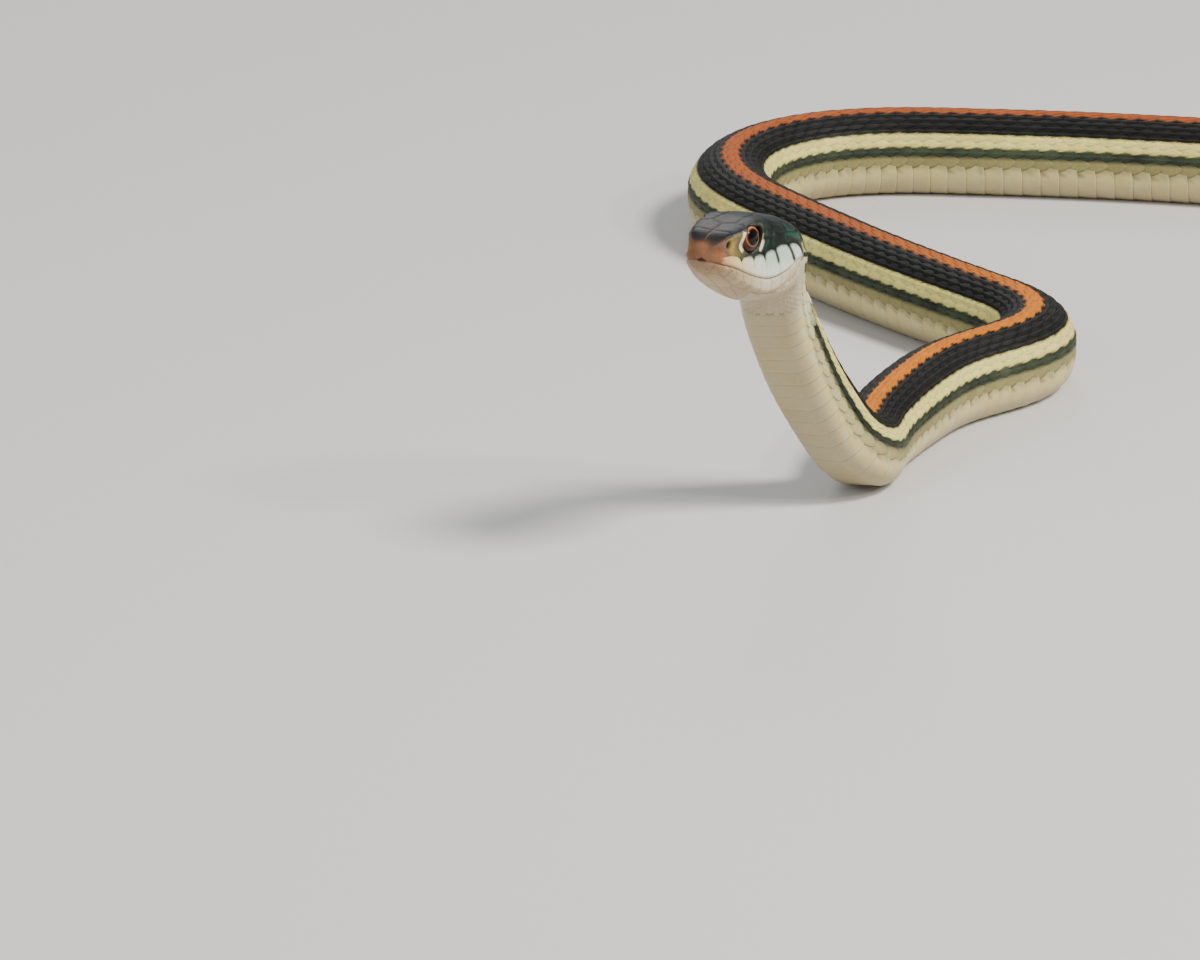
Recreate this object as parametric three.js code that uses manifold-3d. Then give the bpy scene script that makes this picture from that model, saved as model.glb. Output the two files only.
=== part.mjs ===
// Garter snake (western ribbon snake, a member of the garter snake genus), still model in its
// looking-up pose.  Millimetres, +Z up, the floor at z = 0.
// The body is one long loft along a centre line.  The centre line is found by walking from the
// snout to the tail tip with a heading and a pitch that change smoothly between named stations.
import * as THREE from 'three';
import { mergeVertices } from 'three/addons/utils/BufferGeometryUtils.js';
import Module from 'manifold-3d';

const wasm = await Module();
wasm.setup();

// ---------------------------------------------------------------- driving sizes (mm, degrees)
const TOTAL_LENGTH = 620;        // snout to tail tip
const VENT = 435;                // distance of the vent from the snout
const HEAD_END = 19.2;           // where the head nodes stop and the neck node starts
const JAW_START = 0.3;           // the lower jaw starts this far behind the snout tip
const CUT = 0.3;                 // gap between two lengths of the body
const MOUTH_GAP = 0.3;           // gap between the head and the lower jaw
const RING_STEP = 4.0;           // distance between two rings of the trunk
const RING_SIDES = 16;           // corners of a trunk ring
const HEAD_SIDES = 28;           // corners of a head ring, mouth corners included
const GROUND_S = 60.2;           // from here to the tail the belly lies on the floor
const NECK_ROLL = 15;            // twist of the raised neck
const EYE = { s: 5.5, y: 2.80, z: 2.36, r: 1.86, deep: 1.16, gap: 0.14 };

const BOX_MIDDLE = [59.9456, 83.5377]; // middle of the model's box, counted from the front belly contact

// heading of the tailward direction (from +X towards +Y), and its pitch (negative = goes down)
const HEADING = [[0, 58], [12.5, 58], [20.5, 85.7], [31, 50], [46.2, 33], [59.2, 81], [66, 69], [76,
  65], [93.2, 42], [119.2, 128], [165.2, 121], [235, -6], [279, -14], [335, -110], [365, -100], [455,
  70], [493, 72], [553, 120], [600, 80], [620, 75]];
const PITCH = [[0, -12], [12.5, -12], [20.5, -54.1], [31, -61.4], [46.2, -55.6], [60.2, 0], [620, 0]];
const ROLL = [[0, 0], [20, 0], [30, NECK_ROLL], [44, NECK_ROLL], [60.2, 0], [620, 0]];

// half width and half height of the trunk by distance from the snout
const HALF_W = [[19, 4.15], [23, 4.15], [34, 4.35], [48, 4.6], [60, 4.9], [75, 5.35], [100, 5.6],
  [220, 6], [350, 5.8], [415, 5], [435, 4.5], [455, 4], [520, 2.6], [580, 1.35], [612, 0.75], [620,
  0.4]];
const HALF_H = [[19, 4.1], [23, 4.08], [34, 4.25], [48, 4.5], [60, 4.8], [75, 5.25], [100, 5.5],
  [220, 5.8], [350, 5.6], [415, 4.8], [435, 4.35], [455, 3.85], [520, 2.5], [580, 1.3], [612, 0.72],
  [620, 0.4]];

// head stations: s, then the half profile by its marks
// top height, crown edge y z, cheek y z, lip y (its height is the mouth line), jaw y z, bottom height
const HEAD = [
  { s: 0.00, zt: 0.35, yc: 0.12, zc: 0.30, ym: 0.16, zm: 0.10, yu: 0.16, yj: 0.10, zj: -0.38, zb: -0.42 },
  { s: 0.14, zt: 1.25, yc: 1.10, zc: 1.00, ym: 1.35, zm: 0.35, yu: 1.35, yj: 0.90, zj: -0.95, zb: -1.10 },
  { s: 0.60, zt: 2.20, yc: 2.15, zc: 1.92, ym: 2.25, zm: 0.60, yu: 2.35, yj: 1.60, zj: -1.40, zb: -1.70 },
  { s: 1.60, zt: 2.92, yc: 2.80, zc: 2.62, ym: 2.85, zm: 0.85, yu: 3.00, yj: 2.30, zj: -1.90, zb: -2.40 },
  { s: 3.20, zt: 3.53, yc: 3.30, zc: 3.20, ym: 3.15, zm: 1.20, yu: 3.40, yj: 2.85, zj: -2.60, zb: -3.20 },
  { s: 5.00, zt: 4.18, yc: 3.60, zc: 3.80, ym: 3.30, zm: 1.60, yu: 3.75, yj: 3.35, zj: -3.30, zb: -4.10 },
  { s: 7.00, zt: 4.73, yc: 3.75, zc: 4.30, ym: 3.55, zm: 1.80, yu: 4.20, yj: 3.80, zj: -3.95, zb: -5.00 },
  { s: 9.50, zt: 4.93, yc: 3.65, zc: 4.20, ym: 4.30, zm: 1.70, yu: 4.65, yj: 4.10, zj: -4.35, zb: -5.65 },
  { s: 12.50, zt: 4.75, yc: 3.55, zc: 3.80, ym: 4.75, zm: 1.45, yu: 4.95, yj: 4.20, zj: -4.25, zb: -5.75 },
  { s: 16.00, zt: 4.45, yc: 3.40, zc: 3.45, ym: 4.75, zm: 1.10, yu: 4.75, yj: 3.75, zj: -3.80, zb: -5.15 },
  { s: 19.50, zt: 4.20, yc: 3.10, zc: 3.05, ym: 4.40, zm: 0.80, yu: 4.35, yj: 3.20, zj: -3.35, zb: -4.40 },
  { s: 23.00, zt: 4.08, yc: 2.95, zc: 2.92, ym: 4.10, zm: 0.85, yu: 4.05, yj: 2.90, zj: -3.08, zb: -4.08 },
];
// height of the mouth line above the head's axis
const MOUTH = [[0, -0.25], [1.6, -0.7], [3.2, -1.25], [5, -1.8], [7, -2.25], [8.5, -2.4], [10, -2.2],
  [12.5, -1.3], [15.5, 0], [19.5, -0.5], [23, -1.2]];

// where the trunk and tail are divided, and the names of the lengths
const LENGTHS = [
  ['neck', 19.5, 46], ['trunk_1', 46, 64], ['trunk_2', 64, 94], ['trunk_3', 94, 106], ['trunk_4', 106, 122],
  ['trunk_5', 122, 166], ['trunk_6', 166, 190], ['trunk_7', 190, 214], ['trunk_8', 214, 250],
  ['trunk_9', 250, 290], ['trunk_10', 290, 322], ['trunk_11', 322, 360], ['trunk_12', 360, 386],
  ['trunk_13', 386, 410], ['trunk_14', 410, VENT], ['tail_1', VENT, 475], ['tail_2', 475, 520],
  ['tail_3', 520, 568], ['tail_4', 568, TOTAL_LENGTH]];

// ---------------------------------------------------------------- small helpers
const rad = (d) => d * Math.PI / 180;
const clamp01 = (t) => Math.min(1, Math.max(0, t));
const smooth = (t) => { t = clamp01(t); return t * t * (3 - 2 * t); };

// value between stations, easing in and out at each of them
function eased(keys, s) {
  let v = keys[0][1];
  for (let i = 0; i + 1 < keys.length; i++) {
    const [a, va] = keys[i], [b, vb] = keys[i + 1];
    if (s >= a) v = va + (vb - va) * smooth((s - a) / (b - a));
  }
  return v;
}

// smooth curve through stations with limited slopes, so that it never overshoots
function curve(xs, ys, x) {
  const n = xs.length;
  if (x <= xs[0]) return ys[0];
  if (x >= xs[n - 1]) return ys[n - 1];
  let i = 0;
  while (x > xs[i + 1]) i++;
  const d = (k) => (ys[k + 1] - ys[k]) / (xs[k + 1] - xs[k]);
  const slope = (k) => {
    if (k === 0) return d(0);
    if (k === n - 1) return d(n - 2);
    const a = d(k - 1), b = d(k);
    return a * b <= 0 ? 0 : 2 * a * b / (a + b);
  };
  const h = xs[i + 1] - xs[i], t = (x - xs[i]) / h;
  const t2 = t * t, t3 = t2 * t;
  return ys[i] * (2 * t3 - 3 * t2 + 1) + h * slope(i) * (t3 - 2 * t2 + t)
    + ys[i + 1] * (3 * t2 - 2 * t3) + h * slope(i + 1) * (t3 - t2);
}
const along = (keys, x) => curve(keys.map((k) => k[0]), keys.map((k) => k[1]), x);
const headAt = (name, s) => curve(HEAD.map((k) => k.s), HEAD.map((k) => k[name]), s);

// ---------------------------------------------------------------- centre line
const WALK = 0.25;
const pathP = [], WALK_N = Math.round(TOTAL_LENGTH / WALK);
function tangent(s) {
  const h = rad(eased(HEADING, s)), p = rad(eased(PITCH, s));
  return new THREE.Vector3(Math.cos(p) * Math.cos(h), Math.cos(p) * Math.sin(h), Math.sin(p));
}
{
  const p = new THREE.Vector3();
  pathP.push(p.clone());
  for (let i = 0; i < WALK_N; i++) {
    p.addScaledVector(tangent((i + 0.5) * WALK), WALK);
    pathP.push(p.clone());
  }
  const at = pathP[Math.round(57.2 / WALK)].clone();
  at.z = pathP[Math.round(GROUND_S / WALK)].z;
  for (const q of pathP) q.sub(at);
}
function centre(s) {
  const f = Math.min(WALK_N - 1e-6, Math.max(0, s / WALK)), i = Math.floor(f);
  const p = pathP[i].clone().lerp(pathP[i + 1], f - i);
  p.z += along(HALF_H, Math.max(s, GROUND_S));
  return p;
}
// the frame of a ring: tailward, to the animal's right, and dorsal
function frameAt(s) {
  const t = tangent(s);
  const h = rad(eased(HEADING, s));
  const side = new THREE.Vector3(-Math.sin(h), Math.cos(h), 0);
  const up = new THREE.Vector3().crossVectors(t, side).normalize();
  const r = rad(eased(ROLL, s));
  const u = side.clone().multiplyScalar(Math.cos(r)).addScaledVector(up, -Math.sin(r));
  const v = up.clone().multiplyScalar(Math.cos(r)).addScaledVector(side, Math.sin(r));
  return { t, u, v };
}

// ---------------------------------------------------------------- cross sections
// angle: 0 at the middle of the back, 180 at the middle of the belly
function trunkSection(s, deg) {
  const a = along(HALF_W, s), b = along(HALF_H, s);
  const c = Math.cos(rad(deg)), q = Math.sin(rad(deg));
  if (c >= 0) return [a * q, b * c];
  const e = 0.74;
  return [a * Math.sign(q) * Math.pow(Math.abs(q), e), -b * Math.min(1, 1.06 * Math.pow(-c, e))];
}
const MARKS = [0, 45, 78, 107, 140, 180];
function headSection(s, deg) {
  let d = ((deg % 360) + 360) % 360;
  const mirror = d > 180 ? -1 : 1;
  if (d > 180) d = 360 - d;
  const y = [0, headAt('yc', s), headAt('ym', s), headAt('yu', s), headAt('yj', s), 0];
  const z = [headAt('zt', s), headAt('zc', s), headAt('zm', s), along(MOUTH, s), headAt('zj', s), headAt('zb', s)];
  // mirrored marks on both ends keep the curve round over the top and under the chin
  const A = [-78, -45, ...MARKS, 220, 253];
  const Y = [-y[2], -y[1], ...y, -y[4], -y[3]];
  const Z = [z[2], z[1], ...z, z[4], z[3]];
  let i = 0;
  while (d > A[i + 1]) i++;
  const m = (V, k) => (V[k + 1] - V[k - 1]) / (A[k + 1] - A[k - 1]);
  const h = A[i + 1] - A[i], t = (d - A[i]) / h, t2 = t * t, t3 = t2 * t;
  const f = (V) => V[i] * (2 * t3 - 3 * t2 + 1) + h * m(V, i) * (t3 - 2 * t2 + t)
    + V[i + 1] * (3 * t2 - 2 * t3) + h * m(V, i + 1) * (t3 - t2);
  return [mirror * f(Y), f(Z)];
}
function section(s, deg) {
  const w = smooth((s - 18) / 6);
  if (w <= 0) return headSection(s, deg);
  const b = trunkSection(s, deg);
  if (w >= 1) return b;
  const a = headSection(s, deg);
  return [a[0] + (b[0] - a[0]) * w, a[1] + (b[1] - a[1]) * w];
}
function place(s, y, z) {
  const { u, v } = frameAt(s);
  return centre(s).addScaledVector(u, y).addScaledVector(v, z);
}

// ---------------------------------------------------------------- closed lofts
// rings: arrays of points, all the same count, from the snout end to the tail end
function loft(rings) {
  const n = rings[0].length, pos = [], idx = [];
  for (const r of rings) for (const p of r) pos.push(p.x, p.y, p.z);
  const cap = (r) => {
    const c = new THREE.Vector3();
    for (const p of r) c.add(p);
    c.multiplyScalar(1 / r.length);
    pos.push(c.x, c.y, c.z);
    return pos.length / 3 - 1;
  };
  for (let k = 0; k + 1 < rings.length; k++) {
    for (let i = 0; i < n; i++) {
      const j = (i + 1) % n, a = k * n + i, b = k * n + j, c = a + n, d = b + n;
      idx.push(a, b, d, a, d, c);
    }
  }
  const first = cap(rings[0]), last = cap(rings[rings.length - 1]), m = (rings.length - 1) * n;
  for (let i = 0; i < n; i++) {
    const j = (i + 1) % n;
    idx.push(first, j, i, last, m + i, m + j);
  }
  const g = new THREE.BufferGeometry();
  g.setAttribute('position', new THREE.Float32BufferAttribute(pos, 3));
  g.setIndex(idx);
  // turn the faces outward when the volume comes out negative
  let vol = 0;
  const P = (i) => new THREE.Vector3(pos[3 * i], pos[3 * i + 1], pos[3 * i + 2]);
  const o = P(idx[0]);
  for (let i = 0; i < idx.length; i += 3) {
    const a = P(idx[i]).sub(o), b = P(idx[i + 1]).sub(o), c = P(idx[i + 2]).sub(o);
    vol += a.dot(b.cross(c));
  }
  if (vol < 0) {
    for (let i = 0; i < idx.length; i += 3) { const t = idx[i]; idx[i] = idx[i + 1]; idx[i + 1] = t; }
    g.setIndex(idx);
  }
  return g;
}

function trunkLength(s0, s1) {
  const a = s0 + CUT / 2, b = s1 === TOTAL_LENGTH ? s1 : s1 - CUT / 2;
  const n = Math.max(2, Math.round((b - a) / RING_STEP)), rings = [];
  for (let k = 0; k <= n; k++) {
    const s = a + (b - a) * k / n, ring = [];
    for (let i = 0; i < RING_SIDES; i++) {
      const [y, z] = section(s, 360 * i / RING_SIDES);
      ring.push(place(s, y, z));
    }
    rings.push(ring);
  }
  return loft(rings);
}

// the upper or the lower half of the head: the mouth line closes the section
const HEAD_STATIONS = [0.0, 0.14, 0.35, 0.7, 1.2, 2.0, 3.0, 4.2, 5.4, 6.6, 7.8, 9.2, 11, 12.8, 14.4, 16, 17.6, HEAD_END];
function mouthAngle(s) {
  // angle at which the section crosses the mouth height
  const zm = along(MOUTH, s);
  let lo = 60, hi = 178;
  for (let k = 0; k < 40; k++) {
    const mid = (lo + hi) / 2;
    if (section(s, mid)[1] > zm) lo = mid; else hi = mid;
  }
  return (lo + hi) / 2;
}
function headHalf(upper, stations) {
  const rings = [], n = HEAD_SIDES / 2;
  for (const s of stations) {
    const am = mouthAngle(s), ring = [], off = (upper ? 1 : -1) * MOUTH_GAP / 2;
    const zm = along(MOUTH, s) + off;
    for (let i = 0; i <= n; i++) {
      const d = upper ? -am + 2 * am * i / n : am + (360 - 2 * am) * i / n;
      let [y, z] = section(s, d);
      if (upper) z = Math.max(z, zm); else z = Math.min(z, zm);
      ring.push(place(s, y, z));
    }
    const [ym] = section(s, am);
    for (let i = 1; i < 4; i++) {
      const y = (upper ? 1 : -1) * ym * (1 - i / 2);
      ring.push(place(s, y, zm));
    }
    rings.push(ring);
  }
  return loft(rings);
}

// ---------------------------------------------------------------- boolean helper
function toManifold(g) {
  const c = g.clone();
  c.deleteAttribute('normal');
  c.deleteAttribute('uv');
  const m = mergeVertices(c, 1e-5);
  return new wasm.Manifold(new wasm.Mesh({
    numProp: 3,
    vertProperties: new Float32Array(m.attributes.position.array),
    triVerts: new Uint32Array(m.index.array),
  }));
}
function fromManifold(m) {
  const mesh = m.getMesh(), g = new THREE.BufferGeometry();
  const v = [];
  for (let i = 0; i < mesh.vertProperties.length; i += mesh.numProp) {
    v.push(mesh.vertProperties[i], mesh.vertProperties[i + 1], mesh.vertProperties[i + 2]);
  }
  g.setAttribute('position', new THREE.Float32BufferAttribute(v, 3));
  g.setIndex(Array.from(mesh.triVerts));
  return g;
}
// a lens-shaped eyeball whose short axis looks outwards and a little forward
function eyeBall(side, more) {
  const g = new THREE.SphereGeometry(1, 22, 14);
  g.rotateX(Math.PI / 2);
  g.scale(EYE.r + more, EYE.r + more, EYE.deep + more);
  const { t, u, v } = frameAt(EYE.s);
  const out = u.clone().multiplyScalar(side * Math.cos(rad(8))).addScaledVector(t, -Math.sin(rad(8)));
  const e1 = new THREE.Vector3().crossVectors(v, out).normalize();
  const e2 = new THREE.Vector3().crossVectors(out, e1);
  const c = place(EYE.s, side * EYE.y, EYE.z);
  g.applyMatrix4(new THREE.Matrix4().makeBasis(e1, e2, out).setPosition(c));
  return g;
}

// ---------------------------------------------------------------- the model
const snake = new THREE.Group();
snake.name = 'garter_snake';
function add(name, geometry, color, roughness) {
  const g = geometry;
  g.computeVertexNormals();
  const mesh = new THREE.Mesh(g, new THREE.MeshStandardMaterial({ color, roughness, metalness: 0 }));
  mesh.name = name;
  snake.add(mesh);
}

let upper = toManifold(headHalf(true, HEAD_STATIONS));
for (const side of [1, -1]) upper = upper.subtract(toManifold(eyeBall(side, EYE.gap)));
add('head', fromManifold(upper), 0x56605a, 0.5);
const lower = toManifold(headHalf(false, HEAD_STATIONS.filter((s) => s > JAW_START)));
add('lower_jaw', fromManifold(lower), 0xd8c8ac, 0.55);
add('eye_right', eyeBall(1, 0), 0x8a3413, 0.15);
add('eye_left', eyeBall(-1, 0), 0x8a3413, 0.15);
for (const [name, s0, s1] of LENGTHS) {
  add(name, trunkLength(s0, s1), name === 'neck' ? 0xb9ae86 : 0x34362e, 0.55);
}

// the row's origin is under the middle of the model's box
for (const mesh of snake.children) mesh.geometry.translate(-BOX_MIDDLE[0], -BOX_MIDDLE[1], 0);

export default snake;
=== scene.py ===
import bpy, math
import numpy as np
from mathutils import Matrix, kdtree


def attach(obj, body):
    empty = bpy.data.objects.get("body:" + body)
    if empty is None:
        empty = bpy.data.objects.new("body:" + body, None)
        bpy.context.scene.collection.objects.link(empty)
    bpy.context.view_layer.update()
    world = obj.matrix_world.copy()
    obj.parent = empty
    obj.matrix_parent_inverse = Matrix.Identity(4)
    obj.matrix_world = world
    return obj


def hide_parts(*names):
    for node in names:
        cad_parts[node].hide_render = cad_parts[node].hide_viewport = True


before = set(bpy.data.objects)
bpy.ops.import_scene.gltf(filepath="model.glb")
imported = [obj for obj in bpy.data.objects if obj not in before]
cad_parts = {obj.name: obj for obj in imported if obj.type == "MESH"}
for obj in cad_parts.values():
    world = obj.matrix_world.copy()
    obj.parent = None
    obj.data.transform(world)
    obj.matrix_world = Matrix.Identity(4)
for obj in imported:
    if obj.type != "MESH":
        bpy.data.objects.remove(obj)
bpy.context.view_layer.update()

# =====================================================================================
# 1. The animal's shape: the same named sizes and functions as the solids, in millimetres.
#    s = distance from the snout along the body; deg = angle round the body, 0 at the back,
#    180 at the belly, growing towards the animal's right side.
# =====================================================================================
D2R = math.pi / 180
TOTAL_LENGTH, VENT, GROUND_S, NECK_ROLL = 620.0, 435.0, 60.2, 15.0
BOX_MIDDLE = (59.9456, 83.5377)
HEADING = [(0,58),(12.5,58),(20.5,85.7),(31,50),(46.2,33),(59.2,81),(66,69),(76,65),(93.2,42),(119.2,128),(165.2,121),(235,-6),(279,-14),(335,-110),(365,-100),(455,70),(493,72),(553,120),(600,80),(620,75)]
PITCH = [(0,-12),(12.5,-12),(20.5,-54.1),(31,-61.4),(46.2,-55.6),(60.2,0),(620,0)]
ROLL = [(0,0),(20,0),(30,NECK_ROLL),(44,NECK_ROLL),(60.2,0),(620,0)]
HALF_W = [(19,4.15),(23,4.15),(34,4.35),(48,4.6),(60,4.9),(75,5.35),(100,5.6),(220,6),(350,5.8),(415,5),(435,4.5),(455,4),(520,2.6),(580,1.35),(612,0.75),(620,0.4)]
HALF_H = [(19,4.1),(23,4.08),(34,4.25),(48,4.5),(60,4.8),(75,5.25),(100,5.5),(220,5.8),(350,5.6),(415,4.8),(435,4.35),(455,3.85),(520,2.5),(580,1.3),(612,0.72),(620,0.4)]
HS = [0,.14,.6,1.6,3.2,5,7,9.5,12.5,16,19.5,23]
H = dict(
 zt=[0.35,1.25,2.2,2.92,3.53,4.18,4.73,4.93,4.75,4.45,4.2,4.08],
 yc=[0.12,1.1,2.15,2.8,3.3,3.6,3.75,3.65,3.55,3.4,3.1,2.95],
 zc=[0.3,1,1.92,2.62,3.2,3.8,4.3,4.2,3.8,3.45,3.05,2.92],
 ym=[0.16,1.35,2.25,2.85,3.15,3.3,3.55,4.3,4.75,4.75,4.4,4.1],
 zm=[0.1,0.35,0.6,0.85,1.2,1.6,1.8,1.7,1.45,1.1,0.8,0.85],
 yu=[0.16,1.35,2.35,3,3.4,3.75,4.2,4.65,4.95,4.75,4.35,4.05],
 yj=[0.1,0.9,1.6,2.3,2.85,3.35,3.8,4.1,4.2,3.75,3.2,2.9],
 zj=[-0.38,-0.95,-1.4,-1.9,-2.6,-3.3,-3.95,-4.35,-4.25,-3.8,-3.35,-3.08],
 zb=[-0.42,-1.1,-1.7,-2.4,-3.2,-4.1,-5,-5.65,-5.75,-5.15,-4.4,-4.08])
MOUTH = [(0,-.25),(1.6,-.7),(3.2,-1.25),(5,-1.8),(7,-2.25),(8.5,-2.4),(10,-2.2),(12.5,-1.3),(15.5,0.0),(19.5,-.5),(23,-1.2)]
EYE = dict(s=5.5, y=2.80, z=2.36, r=1.86, depth=1.16)
VENTRAL_START = 22.6


def smooth(t):
    t = np.clip(t, 0, 1)
    return t * t * (3 - 2 * t)


def step(a, b, x):
    return smooth((np.asarray(x, float) - a) / (b - a))


def eased(keys, s):
    s = np.asarray(s, float)
    v = np.full(s.shape, float(keys[0][1]))
    for (a, va), (b, vb) in zip(keys[:-1], keys[1:]):
        v = np.where(s >= a, va + (vb - va) * smooth((s - a) / (b - a)), v)
    return v


def curve(xs, ys, x):
    xs = np.asarray(xs, float)
    ys = np.asarray(ys, float)
    x = np.clip(np.asarray(x, float), xs[0], xs[-1])
    d = np.diff(ys) / np.diff(xs)
    n = len(xs)
    m = np.zeros(n)
    m[0], m[-1] = d[0], d[-1]
    for k in range(1, n - 1):
        a, b = d[k - 1], d[k]
        m[k] = 0 if a * b <= 0 else 2 * a * b / (a + b)
    i = np.clip(np.searchsorted(xs, x, side='left') - 1, 0, n - 2)
    h = xs[i + 1] - xs[i]
    t = (x - xs[i]) / h
    t2, t3 = t * t, t * t * t
    return ys[i] * (2 * t3 - 3 * t2 + 1) + h * m[i] * (t3 - 2 * t2 + t) + ys[i + 1] * (3 * t2 - 2 * t3) + h * m[i + 1] * (t3 - t2)


def along(keys, x):
    k = np.array(keys, float)
    return curve(k[:, 0], k[:, 1], x)


def tangent(s):
    h = eased(HEADING, s) * D2R
    p = eased(PITCH, s) * D2R
    return np.stack([np.cos(p) * np.cos(h), np.cos(p) * np.sin(h), np.sin(p)], -1)


WALK = 0.25


def make_path():
    n = int(round(TOTAL_LENGTH / WALK))
    sm = (np.arange(n) + 0.5) * WALK
    P = np.concatenate([[[0, 0, 0]], np.cumsum(tangent(sm) * WALK, 0)], 0)
    at = P[int(round(57.2 / WALK))].copy()
    at[2] = P[int(round(GROUND_S / WALK))][2]
    P = P - at
    P[:, 0] -= BOX_MIDDLE[0]
    P[:, 1] -= BOX_MIDDLE[1]
    return P


PATH = make_path()


def centre(s):
    s = np.asarray(s, float)
    f = np.clip(s / WALK, 0, len(PATH) - 1 - 1e-6)
    i = np.floor(f).astype(int)
    w = (f - i)[..., None]
    p = PATH[i] * (1 - w) + PATH[i + 1] * w
    p[..., 2] += along(HALF_H, np.maximum(s, GROUND_S))
    return p


def frame_at(s):
    t = tangent(s)
    h = eased(HEADING, s) * D2R
    side = np.stack([-np.sin(h), np.cos(h), np.zeros_like(h)], -1)
    up = np.cross(t, side)
    up /= np.linalg.norm(up, axis=-1, keepdims=True)
    r = (eased(ROLL, s) * D2R)[..., None]
    return t, side * np.cos(r) - up * np.sin(r), up * np.cos(r) + side * np.sin(r)


def trunk_section(s, deg):
    a, b = along(HALF_W, s), along(HALF_H, s)
    c, q, e = np.cos(deg * D2R), np.sin(deg * D2R), 0.74
    y = np.where(c >= 0, a * q, a * np.sign(q) * np.abs(q) ** e)
    z = np.where(c >= 0, b * c, -b * np.minimum(1, 1.06 * np.abs(c) ** e))
    # a rounding of the flat belly's corners, added with weight zero, so it has no effect
    k = step(0.80, 1.0, -z / b) * np.where(c < 0, 1, 0)
    return y, z + 0.0 * k


MARKS = np.array([-78, -45, 0, 45, 78, 107, 140, 180, 220, 253], float)


def head_section(s, deg):
    d = np.mod(deg, 360.0)
    mir = np.where(d > 180, -1.0, 1.0)
    d = np.where(d > 180, 360 - d, d)
    g = {k: curve(HS, v, s) for k, v in H.items()}
    zu = along(MOUTH, s)
    o = np.zeros_like(g['zt'])
    y = [o, g['yc'], g['ym'], g['yu'], g['yj'], o]
    z = [g['zt'], g['zc'], g['zm'], zu, g['zj'], g['zb']]
    Y = np.stack([-y[2], -y[1], *y, -y[4], -y[3]])
    Z = np.stack([z[2], z[1], *z, z[4], z[3]])
    A = MARKS
    i = np.clip(np.searchsorted(A, d, side='left') - 1, 2, 6)

    def f(V):
        def at(k):
            return np.take_along_axis(V, k[None], 0)[0]

        def m(k):
            return (at(k + 1) - at(k - 1)) / (A[k + 1] - A[k - 1])
        h = A[i + 1] - A[i]
        t = (d - A[i]) / h
        t2, t3 = t * t, t * t * t
        return at(i) * (2 * t3 - 3 * t2 + 1) + h * m(i) * (t3 - 2 * t2 + t) + at(i + 1) * (3 * t2 - 2 * t3) + h * m(i + 1) * (t3 - t2)
    return mir * f(Y), f(Z)


def section(s, deg):
    s, deg = np.broadcast_arrays(np.asarray(s, float), np.asarray(deg, float))
    sh = s.shape
    s, deg = s.ravel(), deg.ravel()
    y, z = np.empty(s.shape), np.empty(s.shape)
    w = smooth((s - 18) / 6)
    far = w >= 1
    yb, zb = trunk_section(s, deg)
    y[far], z[far] = yb[far], zb[far]
    nh = ~far
    if nh.any():
        ya, za = head_section(s[nh], deg[nh])
        y[nh] = ya + (yb[nh] - ya) * w[nh]
        z[nh] = za + (zb[nh] - za) * w[nh]
    return y.reshape(sh), z.reshape(sh)


def normal2d(s, deg):
    """outward normal of the section in its own plane"""
    y0, z0 = section(s, np.asarray(deg) - 0.6)
    y1, z1 = section(s, np.asarray(deg) + 0.6)
    dy, dz = y1 - y0, z1 - z0
    # angle grows from the top towards +y, so outward is (-dz, dy) turned as below
    n = np.stack([-dz, dy], -1)
    return n / (np.linalg.norm(n, axis=-1, keepdims=True) + 1e-9)


def skin_depth(s):
    """how far the skin lies under the outer surface, to leave room for the scales"""
    return 0.20 * step(14.5, 18.5, s) * (1 - 0.55 * step(470, 620, s))


def lifted(s, deg, h):
    """a point at height h above the outer surface (negative is inside), in metres, row frame"""
    s, deg, h = np.broadcast_arrays(np.asarray(s, float), np.asarray(deg, float), np.asarray(h, float))
    y, z = section(s, deg)
    n = normal2d(s, deg)
    y = y + n[..., 0] * h
    z = z + n[..., 1] * h
    t, u, v = frame_at(s)
    return (centre(s) + u * y[..., None] + v * z[..., None]) * 0.001


# =====================================================================================
# 2. Rows of scales.  q counts rows from the middle of the back; row 9 is the lowest one.
# =====================================================================================
def rows_at(s):
    """number of dorsal rows at s (odd on the trunk, fewer and fewer on the tail)"""
    return curve([0, 290, 300, 425, 440, 452, 470, 492, 520, 552, 590, 612, 620],
                 [19, 19, 17, 17, 15, 13, 11, 9, 7, 5, 4, 3, 3], s)


def edge_deg(s):
    """angle of the lowest edge of the dorsal rows, where the belly shields begin"""
    return curve([0, 14, 25, 36, 46, 60, 76, 420, 440, 470, 620],
                 [116, 116, 107, 104, 101, 98, 95.5, 95.5, 99, 108, 116], s)


def row_to_deg(s, q):
    """lower rows are a little wider than the upper ones"""
    half = rows_at(s) / 2.0
    x = np.abs(q) / half
    return np.sign(q) * edge_deg(s) * (0.93 * x + 0.07 * x ** 3)


PITCH_KEYS = [(0, 0.55), (14, 1.05), (18, 1.6), (26, 2.0), (46, 2.1), (70, 2.3), (120, 2.5), (200, 2.65), (340, 2.65),
              (415, 2.4), (440, 2.0), (480, 1.85), (560, 1.55), (620, 1.0)]
_ss = np.arange(0, TOTAL_LENGTH + 0.05, 0.05)
_cum = np.concatenate([[0], np.cumsum(0.05 / along(PITCH_KEYS, (_ss[:-1] + _ss[1:]) / 2))])


def count_at(s):
    return np.interp(s, _ss, _cum)


def at_count(c):
    return np.interp(c, _cum, _ss)


def pitch_at(s):
    return along(PITCH_KEYS, s)


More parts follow.
